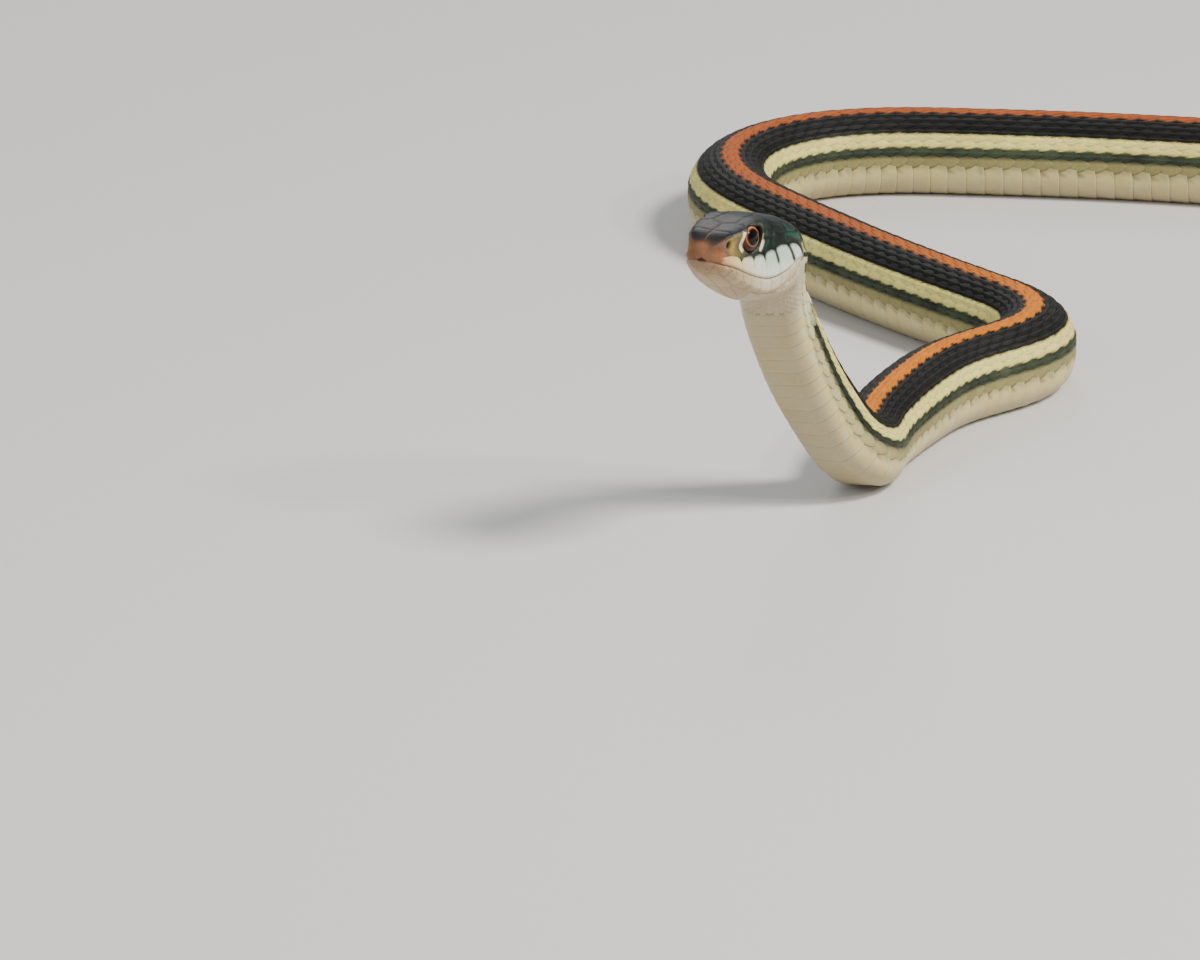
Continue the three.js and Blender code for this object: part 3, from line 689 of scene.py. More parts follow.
def build_skin():
    hs = head_rings()
    hs = hs[hs < 23.9]
    bs = np.concatenate([np.arange(24.0, 612, 1.55), np.linspace(612.5, 619.9, 12)])
    A = np.arange(NH) * 360.0 / NH - 180.0
    S, G = np.meshgrid(hs, A, indexing='ij')
    h, col, _ = head_fields(S.ravel(), G.ravel())
    VH = lifted(S.ravel(), G.ravel(), h - skin_depth(S.ravel()))
    # body
    AB = np.arange(NB) * 360.0 / NB - 180.0
    SB, GB = np.meshgrid(bs, AB, indexing='ij')
    sb, gb = SB.ravel(), GB.ravel()
    tip = step(606, 612, sb)
    VB = lifted(sb, gb, -skin_depth(sb) * (1 - tip) - 0.05 * tip)
    PB = VB * 1000
    half = edge_deg(sb)
    qb = gb / half * (rows_at(sb) / 2)
    cb = body_colour(sb, qb, gb, PB) * 0.45
    cb = mix(cb, belly_colour(sb, gb, np.full(sb.shape, .5), PB) * 0.7, step(-2, 2, np.abs(gb) - half))
    cb = mix(cb, cb * 2.0, tip)
    # caps
    front = (centre(np.array([0.0])) + 0 + frame_at(np.array([0.0]))[2] * 0.02 - tangent(np.array([0.0])) * 0.012) * 0.001
    back = (centre(np.array([619.95])) + tangent(np.array([619.95])) * 0.03) * 0.001
    V = np.concatenate([VH, VB, front, back])
    C = np.concatenate([col, cb, col[NH // 2:NH // 2 + 1], cb[-1:]])
    nh, nb = len(hs), len(bs)
    base = nh * NH
    quads, qu = [], []
    tris, tu = [], []

    def uvp(s, a, head):
        """uv with the last column at a = +180"""
        f = (a + 180) / 360.0
        if head:
            w = np.interp(s, [0, 1, 3, 24], [0, 0.12, 0.26, 1.0])
            return np.stack([0.01 + 0.98 * w, 0.52 + 0.46 * f], -1)
        n = 16
        L = (TOTAL_LENGTH - HEAD_UV_END) / n
        return s, f, n, L
    # head grid
    i, j = np.meshgrid(np.arange(nh - 1), np.arange(NH), indexing='ij')
    i, j = i.ravel(), j.ravel()
    j1 = (j + 1) % NH
    quads.append(np.stack([i * NH + j, i * NH + j1, (i + 1) * NH + j1, (i + 1) * NH + j], -1))
    a0, a1 = A[j], A[j] + 360.0 / NH
    qu.append(np.stack([uvp(hs[i], a0, True), uvp(hs[i], a1, True), uvp(hs[i + 1], a1, True), uvp(hs[i + 1], a0, True)], 1))
    # body grid: each strip keeps its own end columns by taking the strip of the ring's middle

    def buv(s, a, smid):
        n = 16
        L = (TOTAL_LENGTH - HEAD_UV_END) / n
        k = np.clip(np.floor((smid - HEAD_UV_END) / L), 0, n - 1)
        fs = (s - HEAD_UV_END) / L - k
        col_, row_ = np.mod(k, 4), np.floor(k / 4)
        return np.stack([(col_ + 0.02 + 0.96 * fs) / 4, (row_ + 0.04 + 0.92 * (a + 180) / 360) / 8], -1)
    i, j = np.meshgrid(np.arange(nb - 1), np.arange(NB), indexing='ij')
    i, j = i.ravel(), j.ravel()
    j1 = (j + 1) % NB
    quads.append(base + np.stack([i * NB + j, i * NB + j1, (i + 1) * NB + j1, (i + 1) * NB + j], -1))
    a0, a1 = AB[j], AB[j] + 360.0 / NB
    sm = (bs[i] + bs[i + 1]) / 2
    qu.append(np.stack([buv(bs[i], a0, sm), buv(bs[i], a1, sm), buv(bs[i + 1], a1, sm), buv(bs[i + 1], a0, sm)], 1))
    # the seam ring between the fine head grid and the coarser trunk grid
    r = NH // NB
    last = (nh - 1) * NH
    for k in range(NB):
        b0, b1 = base + k, base + (k + 1) % NB
        f = [last + (k * r + m) % NH for m in range(r + 1)]
        h0 = r // 2
        for m in range(r):
            t = (f[m], f[m + 1], b0 if m < h0 else b1)
            tris.append(t)
            aa = [A[0] + (k * r + m) * 360 / NH, A[0] + (k * r + m + 1) * 360 / NH, AB[0] + (k if m < h0 else k + 1) * 360 / NB]
            tu.append([uvp(hs[-1], aa[0], True), uvp(hs[-1], aa[1], True), uvp(24.0, aa[2], True)])
        tris.append((f[h0], b1, b0))
        tu.append([uvp(hs[-1], A[0] + (k * r + h0) * 360 / NH, True), uvp(24.0, AB[0] + (k + 1) * 360 / NB, True), uvp(24.0, AB[0] + k * 360 / NB, True)])
    fi, bi = len(V) - 2, len(V) - 1
    for k in range(NH):
        tris.append((fi, (k + 1) % NH, k))
        tu.append([np.array([0.005, .75]), uvp(hs[0], A[k] + 360 / NH, True), uvp(hs[0], A[k], True)])
    lb = base + (nb - 1) * NB
    for k in range(NB):
        tris.append((bi, lb + k, lb + (k + 1) % NB))
        e = buv(np.array(bs[-1]), np.array(AB[k]), np.array(bs[-1]))
        tu.append([e, e, buv(np.array(bs[-1]), np.array(AB[k] + 360 / NB), np.array(bs[-1]))])
    quads = np.concatenate(quads)
    quads = quads[:, ::-1]
    qu = np.concatenate(qu)[:, ::-1]
    tris = np.array(tris)[:, ::-1]
    tu = np.array([np.stack(t) for t in tu])[:, ::-1]
    uv = np.concatenate([qu.reshape(-1, 2), tu.reshape(-1, 2)])
    return V, quads, tris, C, uv


# =====================================================================================
# 7. The coat: keeled scales, small throat scales, belly shields, shields under the tail
# =====================================================================================
def scale_template(cols, rows):
    """cols: places across -1..1; rows: places along 0..1. Returns the index lists of one closed scale."""
    nc, nr = len(cols), len(rows)
    quads = []
    for i in range(nr - 1):
        for j in range(nc - 1):
            a = i * nc + j
            quads.append((a, a + 1, a + nc + 1, a + nc))
    rim = [j for j in range(nc)] + [i * nc + nc - 1 for i in range(1, nr)] + \
          [(nr - 1) * nc + j for j in range(nc - 2, -1, -1)] + [i * nc for i in range(nr - 2, 0, -1)]
    n = nc * nr
    m = len(rim)
    for k in range(m):
        a, b = rim[k], rim[(k + 1) % m]
        quads.append((b, a, n + k, n + (k + 1) % m))
    tris = [(n + (k + 1) % m, n + k, n + m) for k in range(m)]
    return np.array(quads), np.array(tris), np.array(rim), n + m + 1


def build_scales(root_s, root_q, length, half_width, to_deg, colour_fn, keel, height, cols, rows, thick, shape, seed):
    """all scales of one piece at once. root_* are arrays of one value a scale."""
    cols, rows = np.array(cols), np.array(rows)
    M, nc, nr = len(root_s), len(cols), len(rows)
    quads, tris, rim, nv = scale_template(cols, rows)
    U, W = np.meshgrid(rows, cols, indexing='ij')
    U, W = U.ravel(), W.ravel()
    prof = shape(U)
    s = root_s[:, None] + length[:, None] * U[None, :]
    q = root_q[:, None] + half_width[:, None] * (prof * W)[None, :]
    kl = np.broadcast_to(keel, (M,))[:, None]
    hh = np.broadcast_to(height, (M,))[:, None]
    rise = -0.03 + 0.95 * np.power(U, 0.9) * (1 - 0.25 * step(0.85, 1.0, U))
    crown = 0.30 * (1 - W ** 2) * prof * np.sin(np.pi * np.clip(U, 0, 1) ** 0.8)
    h = hh * (rise + crown)[None, :] + kl * (np.exp(-(W / 0.16) ** 2) * step(0.06, 0.3, U) * (1 - 0.5 * step(0.9, 1.0, U)))[None, :]
    jit = hash01(np.arange(M), np.int64(seed))
    h = h * (0.92 + 0.16 * jit)[:, None]
    depth = skin_depth(s)
    top = lifted(s, to_deg(s, q), h - depth)
    lowr = lifted(s[:, rim], to_deg(s[:, rim], q[:, rim]), h[:, rim] - depth[:, rim] - thick)
    mid_s = root_s + 0.5 * length
    low_c = lifted(mid_s, to_deg(mid_s, root_q), -skin_depth(mid_s) + 0.25 * np.broadcast_to(height, (M,)) - 1.1 * thick)
    V = np.concatenate([top, lowr, low_c[:, None, :]], 1)
    P = top.reshape(-1, 3) * 1000
    col = colour_fn(s.ravel(), q.ravel(), np.tile(U, M), np.tile(W, M), np.repeat(np.arange(M), nc * nr), P).reshape(M, nc * nr, 3)
    # painted shade: the rim and the underside of each scale get darker copies of its colour
    C = np.concatenate([col, col[:, rim] * 0.6, col[:, :1] * 0.3], 1)
    off = (np.arange(M) * nv)[:, None, None]
    Q = (quads[None] + off).reshape(-1, 4)
    T = (tris[None] + off).reshape(-1, 3)
    # OFBake: a patch about 0.003 across at the root's place on the unwrap of the skin
    r0 = root_uv(root_s, to_deg(root_s, root_q))
    k = 0.0028
    lu = np.concatenate([U, U[rim], [0.5]]) * k
    lw = np.concatenate([W * prof, (W * prof)[rim], [0.0]]) * k * 0.5
    uvv = r0[:, None, :] + np.stack([lu, lw], -1)[None]
    uvv = np.clip(uvv, 0.001, 0.999)
    uvv = uvv.reshape(-1, 2)
    uv = np.concatenate([uvv[Q.ravel()], uvv[T.ravel()]])
    return V.reshape(-1, 3), Q, T, C.reshape(-1, 3), uv


def leaf(U):
    """outline of a dorsal scale: narrow root, widest before the middle, blunt point"""
    return np.clip(0.42 + 0.62 * np.sin(np.pi * np.clip(U * 0.93 + 0.04, 0, 1)) ** 0.8, 0, 1) * np.clip(1 - np.power(U, 5.5) * 0.80, 0.06, 1)


def dorsal_roots():
    out_s, out_q, odd = [], [], []
    c0, c1 = count_at(13.0), count_at(616.0)
    for q in range(-9, 10):
        off = 0.5 * (abs(q) % 2)
        c = np.arange(math.floor(c0), c1) + off
        s = at_count(c)
        half = rows_at(s) / 2.0
        keep = np.abs(q) < half - 0.02
        start = np.interp(np.abs(row_to_deg(s, float(q))), [0, 20, 40, 60, 80, 100, 118], [15.1, 14.9, 13.5, 14.8, 15.1, 15.3, 15.4])
        keep &= s > start
        out_s.append(s[keep])
        out_q.append(np.full(keep.sum(), float(q)))
    return np.concatenate(out_s), np.concatenate(out_q)


def dorsal_colour(s, q, U, W, idx, P):
    half = edge_deg(s)
    c = body_colour(s, q, q, P)
    v = 1 + 0.16 * (hash01(idx, np.int64(21)) - 0.5)
    c = c * v[:, None]
    # painted shade: the root of each scale, where it comes out from under the scale in front, is darker
    c = c * (1 - 0.45 * (1 - step(0.0, 0.30, U)))[:, None]
    lum = c.mean(1)
    darkish = 1 - step(0.02, 0.10, lum)
    # painted highlight: on the dark scales a lighter line along the keel, where the ridge catches the light
    c = mix(c, c * 1.0 + 0.022, darkish * np.exp(-(W / 0.13) ** 2) * step(0.2, 0.5, U) * 0.8)
    # the lowest rows have dark edges
    Q = np.abs(q) * 19.0 / rows_at(s)
    lowrow = step(7.4, 7.7, Q) * (1 - step(8.4, 8.8, Q))
    c = mix(c, lin(20, 26, 20), lowrow * step(0.62, 0.98, np.abs(W)) * 0.8)
    # behind the jaw the side is a checker of black and cream
    chk = (1 - step(26, 34, s)) * step(3.5, 4.4, Q) * (1 - step(9.0, 9.4, Q))
    pick = hash01(idx, np.int64(5)) > 0.56
    c = mix(c, np.where(pick[:, None], lin(208, 204, 166) + 0 * c, lin(24, 28, 22) + 0 * c), chk * 0.85)
    return np.clip(c, 0.002, 1)


def gular_roots():
    out_s, out_d = [], []
    k = 0
    for d in np.arange(-252, -107.9, 7.2):
        a = abs(abs(d) - 360) if abs(d) > 180 else abs(d)
        start = float(np.interp(a, [118, 125, 135, 145, 155, 170, 180], [14.9, 13.2, 10.8, 7.8, 6.3, 7.8, 8.3]))
        s = np.arange(2.0, 29.0, 0.98) + 0.49 * (k % 2)
        end = np.interp(a, [112, 135, 150, 180], [27.5, 24.6, 23.6, 23.0])
        keep = (s > start) & (s < end) & (a > edge_deg(s) - 1.0)
        out_s.append(s[keep])
        out_d.append(np.full(keep.sum(), float(d)))
        k += 1
    return np.concatenate(out_s), np.concatenate(out_d)


def gular_colour(s, d, U, W, idx, P):
    n2 = noise(P, 1.4, 33)
    c = mix(np.array([0.50, 0.41, 0.27]) + 0 * P, np.array([0.41, 0.325, 0.20]), 0.5 + 0.5 * n2)
    c = mix(c, np.array([0.52, 0.46, 0.33]), (1 - step(8, 16, s)) * 0.4)
    a = np.abs(np.mod(d, 360) - 180)
    c = mix(c, np.array([0.55, 0.51, 0.36]), step(42, 56, a) * 0.7)
    # painted shade: the root of each throat scale, under the scale in front, is darker; each scale also gets a random
    # tone
    c = c * (1 - 0.22 * (1 - step(0.0, 0.35, U)))[:, None] * (0.96 + 0.08 * hash01(idx, np.int64(2)))[:, None]
    return np.clip(c, 0.002, 1)


def round_leaf(U):
    return np.clip(0.55 + 0.5 * np.sin(np.pi * np.clip(U, 0, 1)), 0, 1) * np.clip(1 - np.power(U, 6) * 0.72, 0.08, 1)


def build_belly():
    """belly shields: one wide closed plate each, lapping over the next one"""
    rows = np.array([0, 0.3, 0.6, 0.84, 0.95, 1.0])
    ks = np.arange(math.ceil(count_at(VENTRAL_START)), math.floor(count_at(VENT - 1.5)))
    root = at_count(ks)
    return wide_plates(root, pitch_at(root) * 1.22, -1.0, 1.0, 37, rows, 0)


def wide_plates(root, length, x0, x1, n, rows, kind, lift=0.13):
    cols = np.linspace(x0, x1, n)
    quads, tris, rim, nv = scale_template(cols, rows)
    U, W = np.meshgrid(rows, cols, indexing='ij')
    U, W = U.ravel(), W.ravel()
    M = len(root)
    # the ends of a plate are rounded: they start later and stop sooner
    span = (W - x0) / (x1 - x0) * 2 - 1
    endr = np.clip((np.abs(span) - 0.86) / 0.14, 0, 1) ** 2
    if kind == 0:
        uu = U * (1 - 0.20 * endr) + 0.04 * endr
    else:
        inner = np.clip((-span if x1 > 0.5 else span), 0, 1)
        uu = U * (1 - 0.45 * endr)
    s = root[:, None] + length[:, None] * uu[None, :]
    reach = (180 - edge_deg(s)) + 2.2 + 3.0 * (kind == 0)
    deg = 180 - reach * W[None, :]
    h = lift * (-0.12 + 1.0 * U) + 0.02 * np.sin(np.pi * U)
    h = np.broadcast_to(h[None, :], s.shape) * (1 - 0.5 * step(480, 620, s)) * (0.62 + 0.38 * step(50, 75, s))
    h = h * (1 - 0.35 * endr[None, :]) - 0.16 * endr[None, :]
    depth = np.minimum(skin_depth(s), lift + 0.005)
    top = lifted(s, deg, h - depth)
    lowr = lifted(s[:, rim], deg[:, rim], h[:, rim] - depth[:, rim] - 0.05)
    ms = root + 0.5 * length
    low_c = lifted(ms, 180 - (180 - edge_deg(ms)) * (x0 + x1) / 2, -skin_depth(ms) - 0.06)
    V = np.concatenate([top, lowr, low_c[:, None, :]], 1)
    P = top.reshape(-1, 3) * 1000
    col = belly_colour(s.ravel(), deg.ravel(), np.tile(U, M), P)
    idx = np.repeat(np.arange(M), U.size)
    # one dark spot at each end of a shield, near its front
    Wt, Ut = np.tile(W, M), np.tile(U, M)
    if kind == 0:
        side = (Wt > 0).astype(np.int64)
        r = np.hypot((np.abs(Wt) - 0.86 - 0.03 * hash01(idx, side, np.int64(4))) * 6.0, (Ut - 0.42) * 1.15)
        c2 = lin(64, 62, 44)
        col = mix(col, c2, (1 - step(0.10, 0.22, r)) * (0.35 + 0.4 * (hash01(idx, side, np.int64(9)) > 0.35)))
    col = col * (0.97 + 0.06 * hash01(idx, np.int64(6)))[:, None]
    col = col.reshape(M, U.size, 3)
    # painted shade: the rim and the underside of each shield get darker copies of its colour
    C = np.concatenate([col, col[:, rim] * 0.75, col[:, :1] * 0.4], 1)
    off = (np.arange(M) * nv)[:, None, None]
    Q = (quads[None] + off).reshape(-1, 4)
    T = (tris[None] + off).reshape(-1, 3)
    k = 0.0028
    r0 = root_uv(root, 180 - (180 - edge_deg(root)) * (x0 + x1) / 2)
    # a belly shield is wide: its patch follows the unwrap across, and is short along
    L = (TOTAL_LENGTH - HEAD_UV_END) / 16
    lu = np.concatenate([U, U[rim], [0.5]]) * k
    lw = np.concatenate([W, W[rim], [0.0]]) * k * 0.5
    uvv = (r0[:, None, :] + np.stack([lu, lw], -1)[None]).reshape(-1, 2)
    uvv = np.clip(uvv, 0.001, 0.999)
    uv = np.concatenate([uvv[Q.ravel()], uvv[T.ravel()]])
    return V.reshape(-1, 3), Q, T, C.reshape(-1, 3), uv


def join(parts):
    V, Q, T, C = [], [], [], []
    uq, ut = [], []
    n = 0
    for v, q, t, c, uv in parts:
        V.append(v); C.append(c); Q.append(q + n); T.append(t + n)
        uq.append(uv[:q.size]); ut.append(uv[q.size:])
        n += len(v)
    return np.concatenate(V), np.concatenate(Q), np.concatenate(T), np.concatenate(C), np.concatenate(uq + ut)


# =====================================================================================
# 8. Materials
# =====================================================================================
def material(name, rough=(0.42, 0.55), spec=0.5, bump=0.12, bump_scale=2600.0, vary=0.10, coat=0.0, fine=9000.0, sss=0.0):
    m = bpy.data.materials.new(name)
    m.use_nodes = True
    nt = m.node_tree
    nt.nodes.clear()
    out = nt.nodes.new('ShaderNodeOutputMaterial')
    p = nt.nodes.new('ShaderNodeBsdfPrincipled')
    nt.links.new(p.outputs[0], out.inputs[0])
    a = nt.nodes.new('ShaderNodeVertexColor')
    a.layer_name = 'Col'
    tc = nt.nodes.new('ShaderNodeTexCoord')
    n1 = nt.nodes.new('ShaderNodeTexNoise')
    n1.inputs['Scale'].default_value = bump_scale
    n1.inputs['Detail'].default_value = 4
    n2 = nt.nodes.new('ShaderNodeTexNoise')
    n2.inputs['Scale'].default_value = fine
    n2.inputs['Detail'].default_value = 2
    nt.links.new(tc.outputs['Object'], n1.inputs['Vector'])
    nt.links.new(tc.outputs['Object'], n2.inputs['Vector'])
    mr = nt.nodes.new('ShaderNodeMapRange')
    mr.inputs['From Min'].default_value = 0.3
    mr.inputs['From Max'].default_value = 0.7
    mr.inputs['To Min'].default_value = 1 - vary
    mr.inputs['To Max'].default_value = 1 + vary
    nt.links.new(n1.outputs['Fac'], mr.inputs['Value'])
    mul = nt.nodes.new('ShaderNodeVectorMath')
    mul.operation = 'SCALE'
    nt.links.new(a.outputs['Color'], mul.inputs[0])
    nt.links.new(mr.outputs['Result'], mul.inputs['Scale'])
    nt.links.new(mul.outputs[0], p.inputs['Base Color'])
    r = nt.nodes.new('ShaderNodeMapRange')
    r.inputs['From Min'].default_value = 0.3
    r.inputs['From Max'].default_value = 0.7
    r.inputs['To Min'].default_value = rough[0]
    r.inputs['To Max'].default_value = rough[1]
    nt.links.new(n2.outputs['Fac'], r.inputs['Value'])
    nt.links.new(r.outputs['Result'], p.inputs['Roughness'])
    p.inputs['Specular IOR Level'].default_value = spec
    if coat:
        p.inputs['Coat Weight'].default_value = coat
        p.inputs['Coat Roughness'].default_value = 0.12
    if sss:
        p.inputs['Subsurface Weight'].default_value = sss
        p.inputs['Subsurface Radius'].default_value = (1.0, 0.5, 0.3)
        p.inputs['Subsurface Scale'].default_value = 0.0006
    b = nt.nodes.new('ShaderNodeBump')
    b.inputs['Strength'].default_value = bump
    b.inputs['Distance'].default_value = 0.00006
    nt.links.new(n2.outputs['Fac'], b.inputs['Height'])
    nt.links.new(b.outputs['Normal'], p.inputs['Normal'])
    return m


mat_skin = material('snake_skin', rough=(0.36, 0.50), bump=0.25, vary=0.08, spec=0.26)
mat_scale = material('keeled_scales', rough=(0.48, 0.64), bump=0.30, vary=0.12, spec=0.15)
mat_belly = material('belly_shields', rough=(0.38, 0.50), bump=0.15, vary=0.05, spec=0.35)


def finish_piece(ob, mat):
    ob.data.materials.append(mat)
    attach(ob, 'root')
    return ob


# ---- skin
V, Q, T, C, uv = build_skin()
skin = finish_piece(make_mesh('skin', V, Q, T, C, uv), mat_skin)
flesh = [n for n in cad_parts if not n.startswith('eye')]
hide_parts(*flesh)

# ---- dorsal scales, in four pieces
rs, rq = dorsal_roots()
order = np.argsort(rs, kind='stable')
rs, rq = rs[order], rq[order]
COLS = [-1, -0.62, -0.26, 0, 0.26, 0.62, 1]
ROWS = [0, 0.16, 0.36, 0.58, 0.78, 0.92, 1.0]
cuts = np.linspace(0, len(rs), 5).astype(int)
for n in range(4):
    a, b = cuts[n], cuts[n + 1]
    s_, q_ = rs[a:b], rq[a:b]
    Qn = np.abs(q_) * 19.0 / rows_at(s_)
    keel = 0.075 * (1 - 0.75 * step(8.2, 9.0, Qn)) * step(16, 30, s_) * (1 - 0.5 * step(480, 610, s_))
    small = 1 - 0.45 * step(470, 610, s_)
    V, Q, T, C, uv = build_scales(s_, q_, pitch_at(s_) * 1.36, np.full(len(s_), 0.665), row_to_deg, dorsal_colour,
                                  keel, 0.15 * small * (0.35 + 0.65 * step(15, 24, s_)), COLS, ROWS, 0.045, leaf, 100 + n)
    finish_piece(make_mesh('dorsal_scales_%d' % (n + 1), V, Q, T, C, uv), mat_scale)

# ---- throat scales and belly shields
gs, gd = gular_roots()
V, Q, T, C, uv = build_scales(gs, gd, np.full(len(gs), 1.30), np.full(len(gs), 4.9), lambda s, d: d, gular_colour,
                              0.0, 0.10, COLS, ROWS, 0.04, round_leaf, 300)
belly = build_belly()
# shields under the tail: two rows meeting in a zigzag
ks = np.arange(math.ceil(count_at(VENT + 0.8)), math.floor(count_at(616)))
root = at_count(ks)
left = wide_plates(root, pitch_at(root) * 1.25, -1.0, 0.06, 15, np.array([0, 0.35, 0.7, 0.92, 1.0]), 1)
root2 = at_count(ks + 0.5)
right = wide_plates(root2, pitch_at(root2) * 1.25, -0.06, 1.0, 15, np.array([0, 0.35, 0.7, 0.92, 1.0]), 1)
anal = wide_plates(np.array([VENT - 2.2]), np.array([3.6]), -0.98, 0.98, 37, np.array([0, 0.3, 0.6, 0.84, 0.95, 1.0]), 0, 0.16)
V, Q, T, C, uv = join([(V, Q, T, C, uv), belly, anal, left, right])
finish_piece(make_mesh('belly_shields', V, Q, T, C, uv), mat_belly)


# =====================================================================================
# 9. Eyes
# =====================================================================================
def eye_material():
    m = bpy.data.materials.new('wet_eye')
    m.use_nodes = True
    nt = m.node_tree
    p = nt.nodes['Principled BSDF']
    a = nt.nodes.new('ShaderNodeVertexColor')
    a.layer_name = 'Col'
    tc = nt.nodes.new('ShaderNodeTexCoord')
    n1 = nt.nodes.new('ShaderNodeTexNoise')
    n1.inputs['Scale'].default_value = 5200
    n1.inputs['Detail'].default_value = 5
    nt.links.new(tc.outputs['Object'], n1.inputs['Vector'])
    mr = nt.nodes.new('ShaderNodeMapRange')
    mr.inputs['From Min'].default_value = 0.3
    mr.inputs['From Max'].default_value = 0.7
    mr.inputs['To Min'].default_value = 0.78
    mr.inputs['To Max'].default_value = 1.25
    nt.links.new(n1.outputs['Fac'], mr.inputs['Value'])
    mul = nt.nodes.new('ShaderNodeVectorMath')
    mul.operation = 'SCALE'
    nt.links.new(a.outputs['Color'], mul.inputs[0])
    nt.links.new(mr.outputs['Result'], mul.inputs['Scale'])
    nt.links.new(mul.outputs[0], p.inputs['Base Color'])
    p.inputs['Roughness'].default_value = 0.22
    p.inputs['Specular IOR Level'].default_value = 0.05
    p.inputs['Coat Weight'].default_value = 0.55
    p.inputs['Coat Roughness'].default_value = 0.03
    p.inputs['Coat IOR'].default_value = 1.33
    return m


mat_eye = eye_material()


EYE_FRONT = {1: 1, -1: -1}


def build_eye(name, sgn):
    """a lens-shaped eyeball: rusty iris, thin pale ring, round black pupil"""
    s0 = np.array([EYE['s']])
    t, u, v = (k[0] for k in frame_at(s0))
    c = centre(s0)[0]
    c = c + u * (sgn * EYE['y']) + v * EYE['z']
    # axis: outwards, turned a little forward and up
    fwd = -t
    ax = u * sgn * math.cos(8 * D2R) + fwd * math.sin(8 * D2R)
    ax = ax * math.cos(3 * D2R) + v * math.sin(3 * D2R)
    ax /= np.linalg.norm(ax)
    e1 = np.cross(v, ax)
    e1 /= np.linalg.norm(e1)
    e2 = np.cross(ax, e1)
    n_r, n_a = 64, 96
    pol = np.linspace(0, np.pi, n_r + 1)[1:-1]
    azi = np.arange(n_a) * 2 * np.pi / n_a
    PO, AZ = np.meshgrid(pol, azi, indexing='ij')
    po, az = PO.ravel(), AZ.ravel()
    rr, dd = EYE['r'] - 0.10, EYE['depth']       # the hidden rim stays under the lids
    x, y, z = rr * np.sin(po) * np.cos(az), rr * np.sin(po) * np.sin(az), dd * np.cos(po)
    V = c + e1 * x[:, None] + e2 * y[:, None] + ax * z[:, None]
    Vp = np.concatenate([V, (c + ax * dd)[None], (c - ax * dd)[None]]) * 0.001
    # the pupil sits a little above and in front of the middle of the lens
    r = np.concatenate([np.hypot(x * 1.0 - 0.08 * EYE_FRONT[sgn], y - 0.26), [0.27, 0.27]])
    rim_r = np.concatenate([rr * np.sin(po), [0, 0]])
    r = np.where(np.concatenate([np.cos(po), [1, -1]]) > 0, r, 3)
    az2 = np.concatenate([az, [0, 0]])
    P = np.concatenate([V, V[:1], V[:1]])
    n1 = noise(P, 0.16, 40)
    streak = noise(np.stack([np.cos(az2) * 9, np.sin(az2) * 9, r * 1.1], -1), 0.8, 41)
    up = np.sin(az2)
    iris = mix(np.array([0.13, 0.020, 0.006]) + 0 * P, np.array([0.34, 0.042, 0.006]), step(-0.1, 0.9, up))
    iris = mix(iris, np.array([0.035, 0.013, 0.008]), step(0.0, 0.8, -up) * 0.85)
    iris = iris * (1 + 0.22 * streak + 0.12 * n1)[:, None]
    iris = mix(iris, lin(40, 14, 8), step(1.48, 1.72, rim_r) * 0.85)
    col = iris
    ring = np.exp(-((r - 1.14) / 0.048) ** 2)
    col = mix(col, lin(44, 18, 10), np.exp(-((r - 1.05) / 0.07) ** 2) * 0.8)
    col = mix(col, np.array([0.60, 0.27, 0.11]), np.clip(ring * 1.1, 0, 1) * (0.70 + 0.30 * up))
    col = mix(col, np.array([0.0008, 0.0008, 0.001]), 1 - step(0.92, 0.99, r))
    col = np.clip(col, 0.001, 1)
    quads = []
    nr = n_r - 1
    i, j = np.meshgrid(np.arange(nr - 1), np.arange(n_a), indexing='ij')
    i, j = i.ravel(), j.ravel()
    j1 = (j + 1) % n_a
    quads = np.stack([i * n_a + j, (i + 1) * n_a + j, (i + 1) * n_a + j1, i * n_a + j1], -1)
    f, b = len(V), len(V) + 1
    k = np.arange(n_a)
    k1 = (k + 1) % n_a
    tris = np.concatenate([np.stack([np.full(n_a, f), k, k1], -1), np.stack([np.full(n_a, b), (nr - 1) * n_a + k1, (nr - 1) * n_a + k], -1)])
    uvv = np.concatenate([0.5 + 0.49 * (po / np.pi)[:, None] * np.stack([np.cos(az), np.sin(az)], -1), [[0.5, 0.5], [0.99, 0.5]]])
    uv = np.concatenate([uvv[quads.ravel()], uvv[tris.ravel()]])
    ob = make_mesh(name, Vp, quads, tris, col, uv)
    finish_piece(ob, mat_eye)
    return ob


eye_r = build_eye('right_eye', 1)
eye_l = build_eye('left_eye', -1)
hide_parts('eye_right')
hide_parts('eye_left')

# =====================================================================================
# 10. Stage: plain floor, soft light, camera
# =====================================================================================
fm = bpy.data.materials.new('pale_floor')
fm.use_nodes = True
fp = fm.node_tree.nodes['Principled BSDF']
fn = fm.node_tree.nodes.new('ShaderNodeTexNoise')
fn.inputs['Scale'].default_value = 60
fr = fm.node_tree.nodes.new('ShaderNodeValToRGB')
fr.color_ramp.elements[0].color = (0.63, 0.62, 0.60, 1)
fr.color_ramp.elements[1].color = (0.66, 0.65, 0.63, 1)
fm.node_tree.links.new(fn.outputs['Fac'], fr.inputs['Fac'])
fm.node_tree.links.new(fr.outputs['Color'], fp.inputs['Base Color'])
fp.inputs['Roughness'].default_value = 0.75
fme = bpy.data.meshes.new('floor')
fme.from_pydata([(-9, -9, 0), (9, -9, 0), (9, 9, 0), (-9, 9, 0)], [], [(0, 1, 2, 3)])
floor = bpy.data.objects.new('floor', fme)
fme.materials.append(fm)
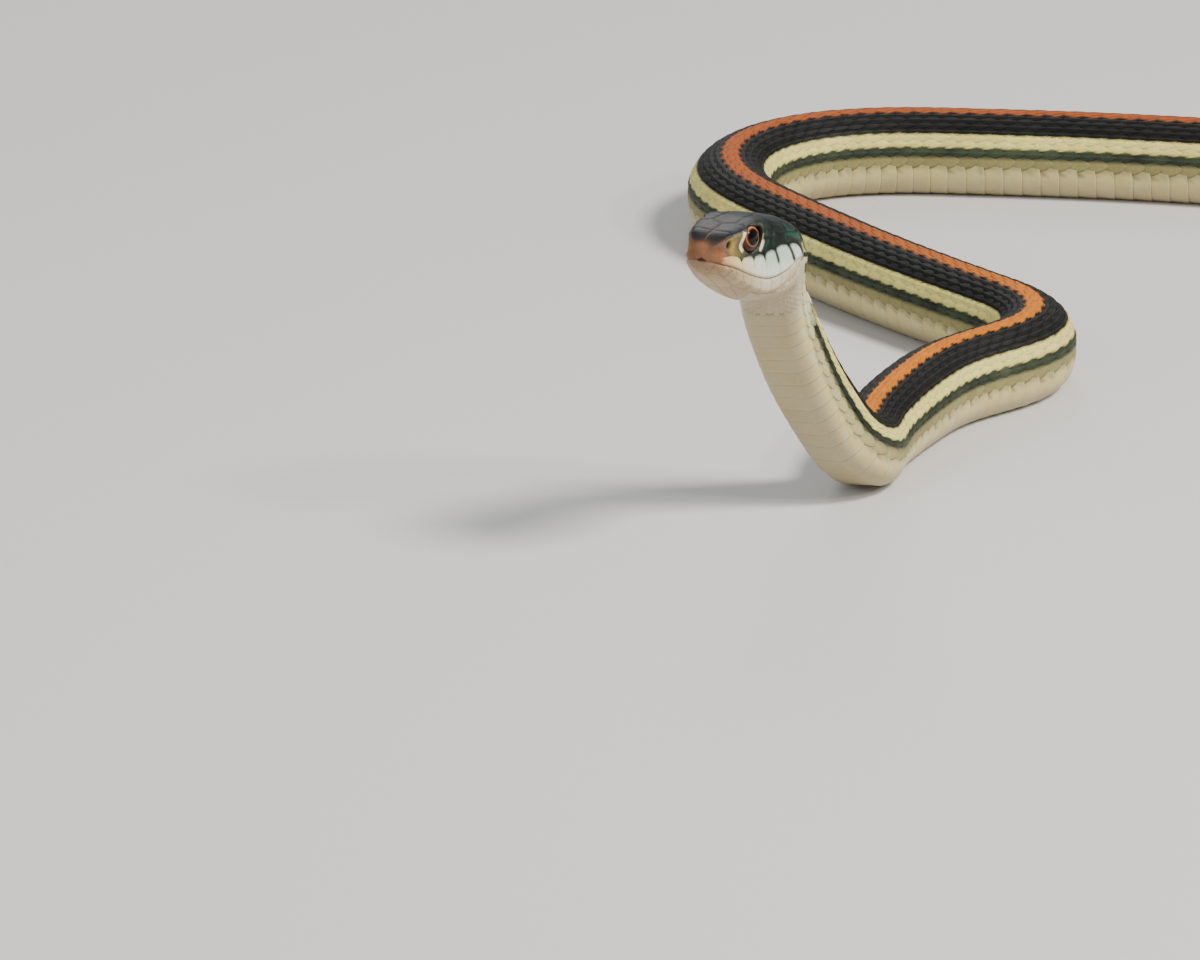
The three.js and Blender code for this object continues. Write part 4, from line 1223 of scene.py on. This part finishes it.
bpy.context.scene.collection.objects.link(floor)

world = bpy.context.scene.world or bpy.data.worlds.new('studio')
bpy.context.scene.world = world
world.use_nodes = True
bg = world.node_tree.nodes.get('Background') or world.node_tree.nodes.new('ShaderNodeBackground')
bg.inputs['Color'].default_value = (0.93, 0.96, 1.0, 1)
bg.inputs['Strength'].default_value = 0.38


def area(name, loc, target, size, energy, colour):
    L = bpy.data.lights.new(name, 'AREA')
    L.shape = 'DISK'
    L.size = size
    L.energy = energy
    L.color = colour
    o = bpy.data.objects.new(name, L)
    bpy.context.scene.collection.objects.link(o)
    d = np.array(target) - np.array(loc)
    d = d / np.linalg.norm(d)
    zax = -d
    xax = np.cross([0, 0, 1.0], zax)
    xax /= np.linalg.norm(xax)
    yax = np.cross(zax, xax)
    o.matrix_world = Matrix(((xax[0], yax[0], zax[0], loc[0]), (xax[1], yax[1], zax[1], loc[1]), (xax[2], yax[2], zax[2], loc[2]), (0, 0, 0, 1)))
    return o


look = (-0.06, -0.08, 0.02)
area('key', (0.55, -0.35, 0.85), look, 0.28, 15, (1.0, 0.96, 0.90))
area('fill', (-0.75, -0.75, 0.45), look, 0.9, 4, (0.90, 0.95, 1.0))
area('back', (-0.2, 0.95, 0.75), look, 0.6, 3.5, (1.0, 1.0, 1.0))
area('catch', (0.44, -0.37, 0.42), (-0.083, -0.098, 0.036), 0.07, 1.4, (1.0, 1.0, 1.0))

# the camera: a long lens about a metre away, 18 degrees above the floor
ELEV = 18 * D2R
AIM = np.array([-33.5 - BOX_MIDDLE[0], 0 - BOX_MIDDLE[1], 0.5]) * 0.001
cam_data = bpy.data.cameras.new('camera')
cam_data.sensor_fit = 'HORIZONTAL'
cam_data.sensor_width = 36
cam_data.lens = 240
cam = bpy.data.objects.new('camera', cam_data)
cam.location = AIM - 1.0 * np.array([0, math.cos(ELEV), -math.sin(ELEV)])
cam.rotation_euler = (math.pi / 2 - ELEV, 0, 0)
bpy.context.scene.collection.objects.link(cam)
bpy.context.scene.camera = cam
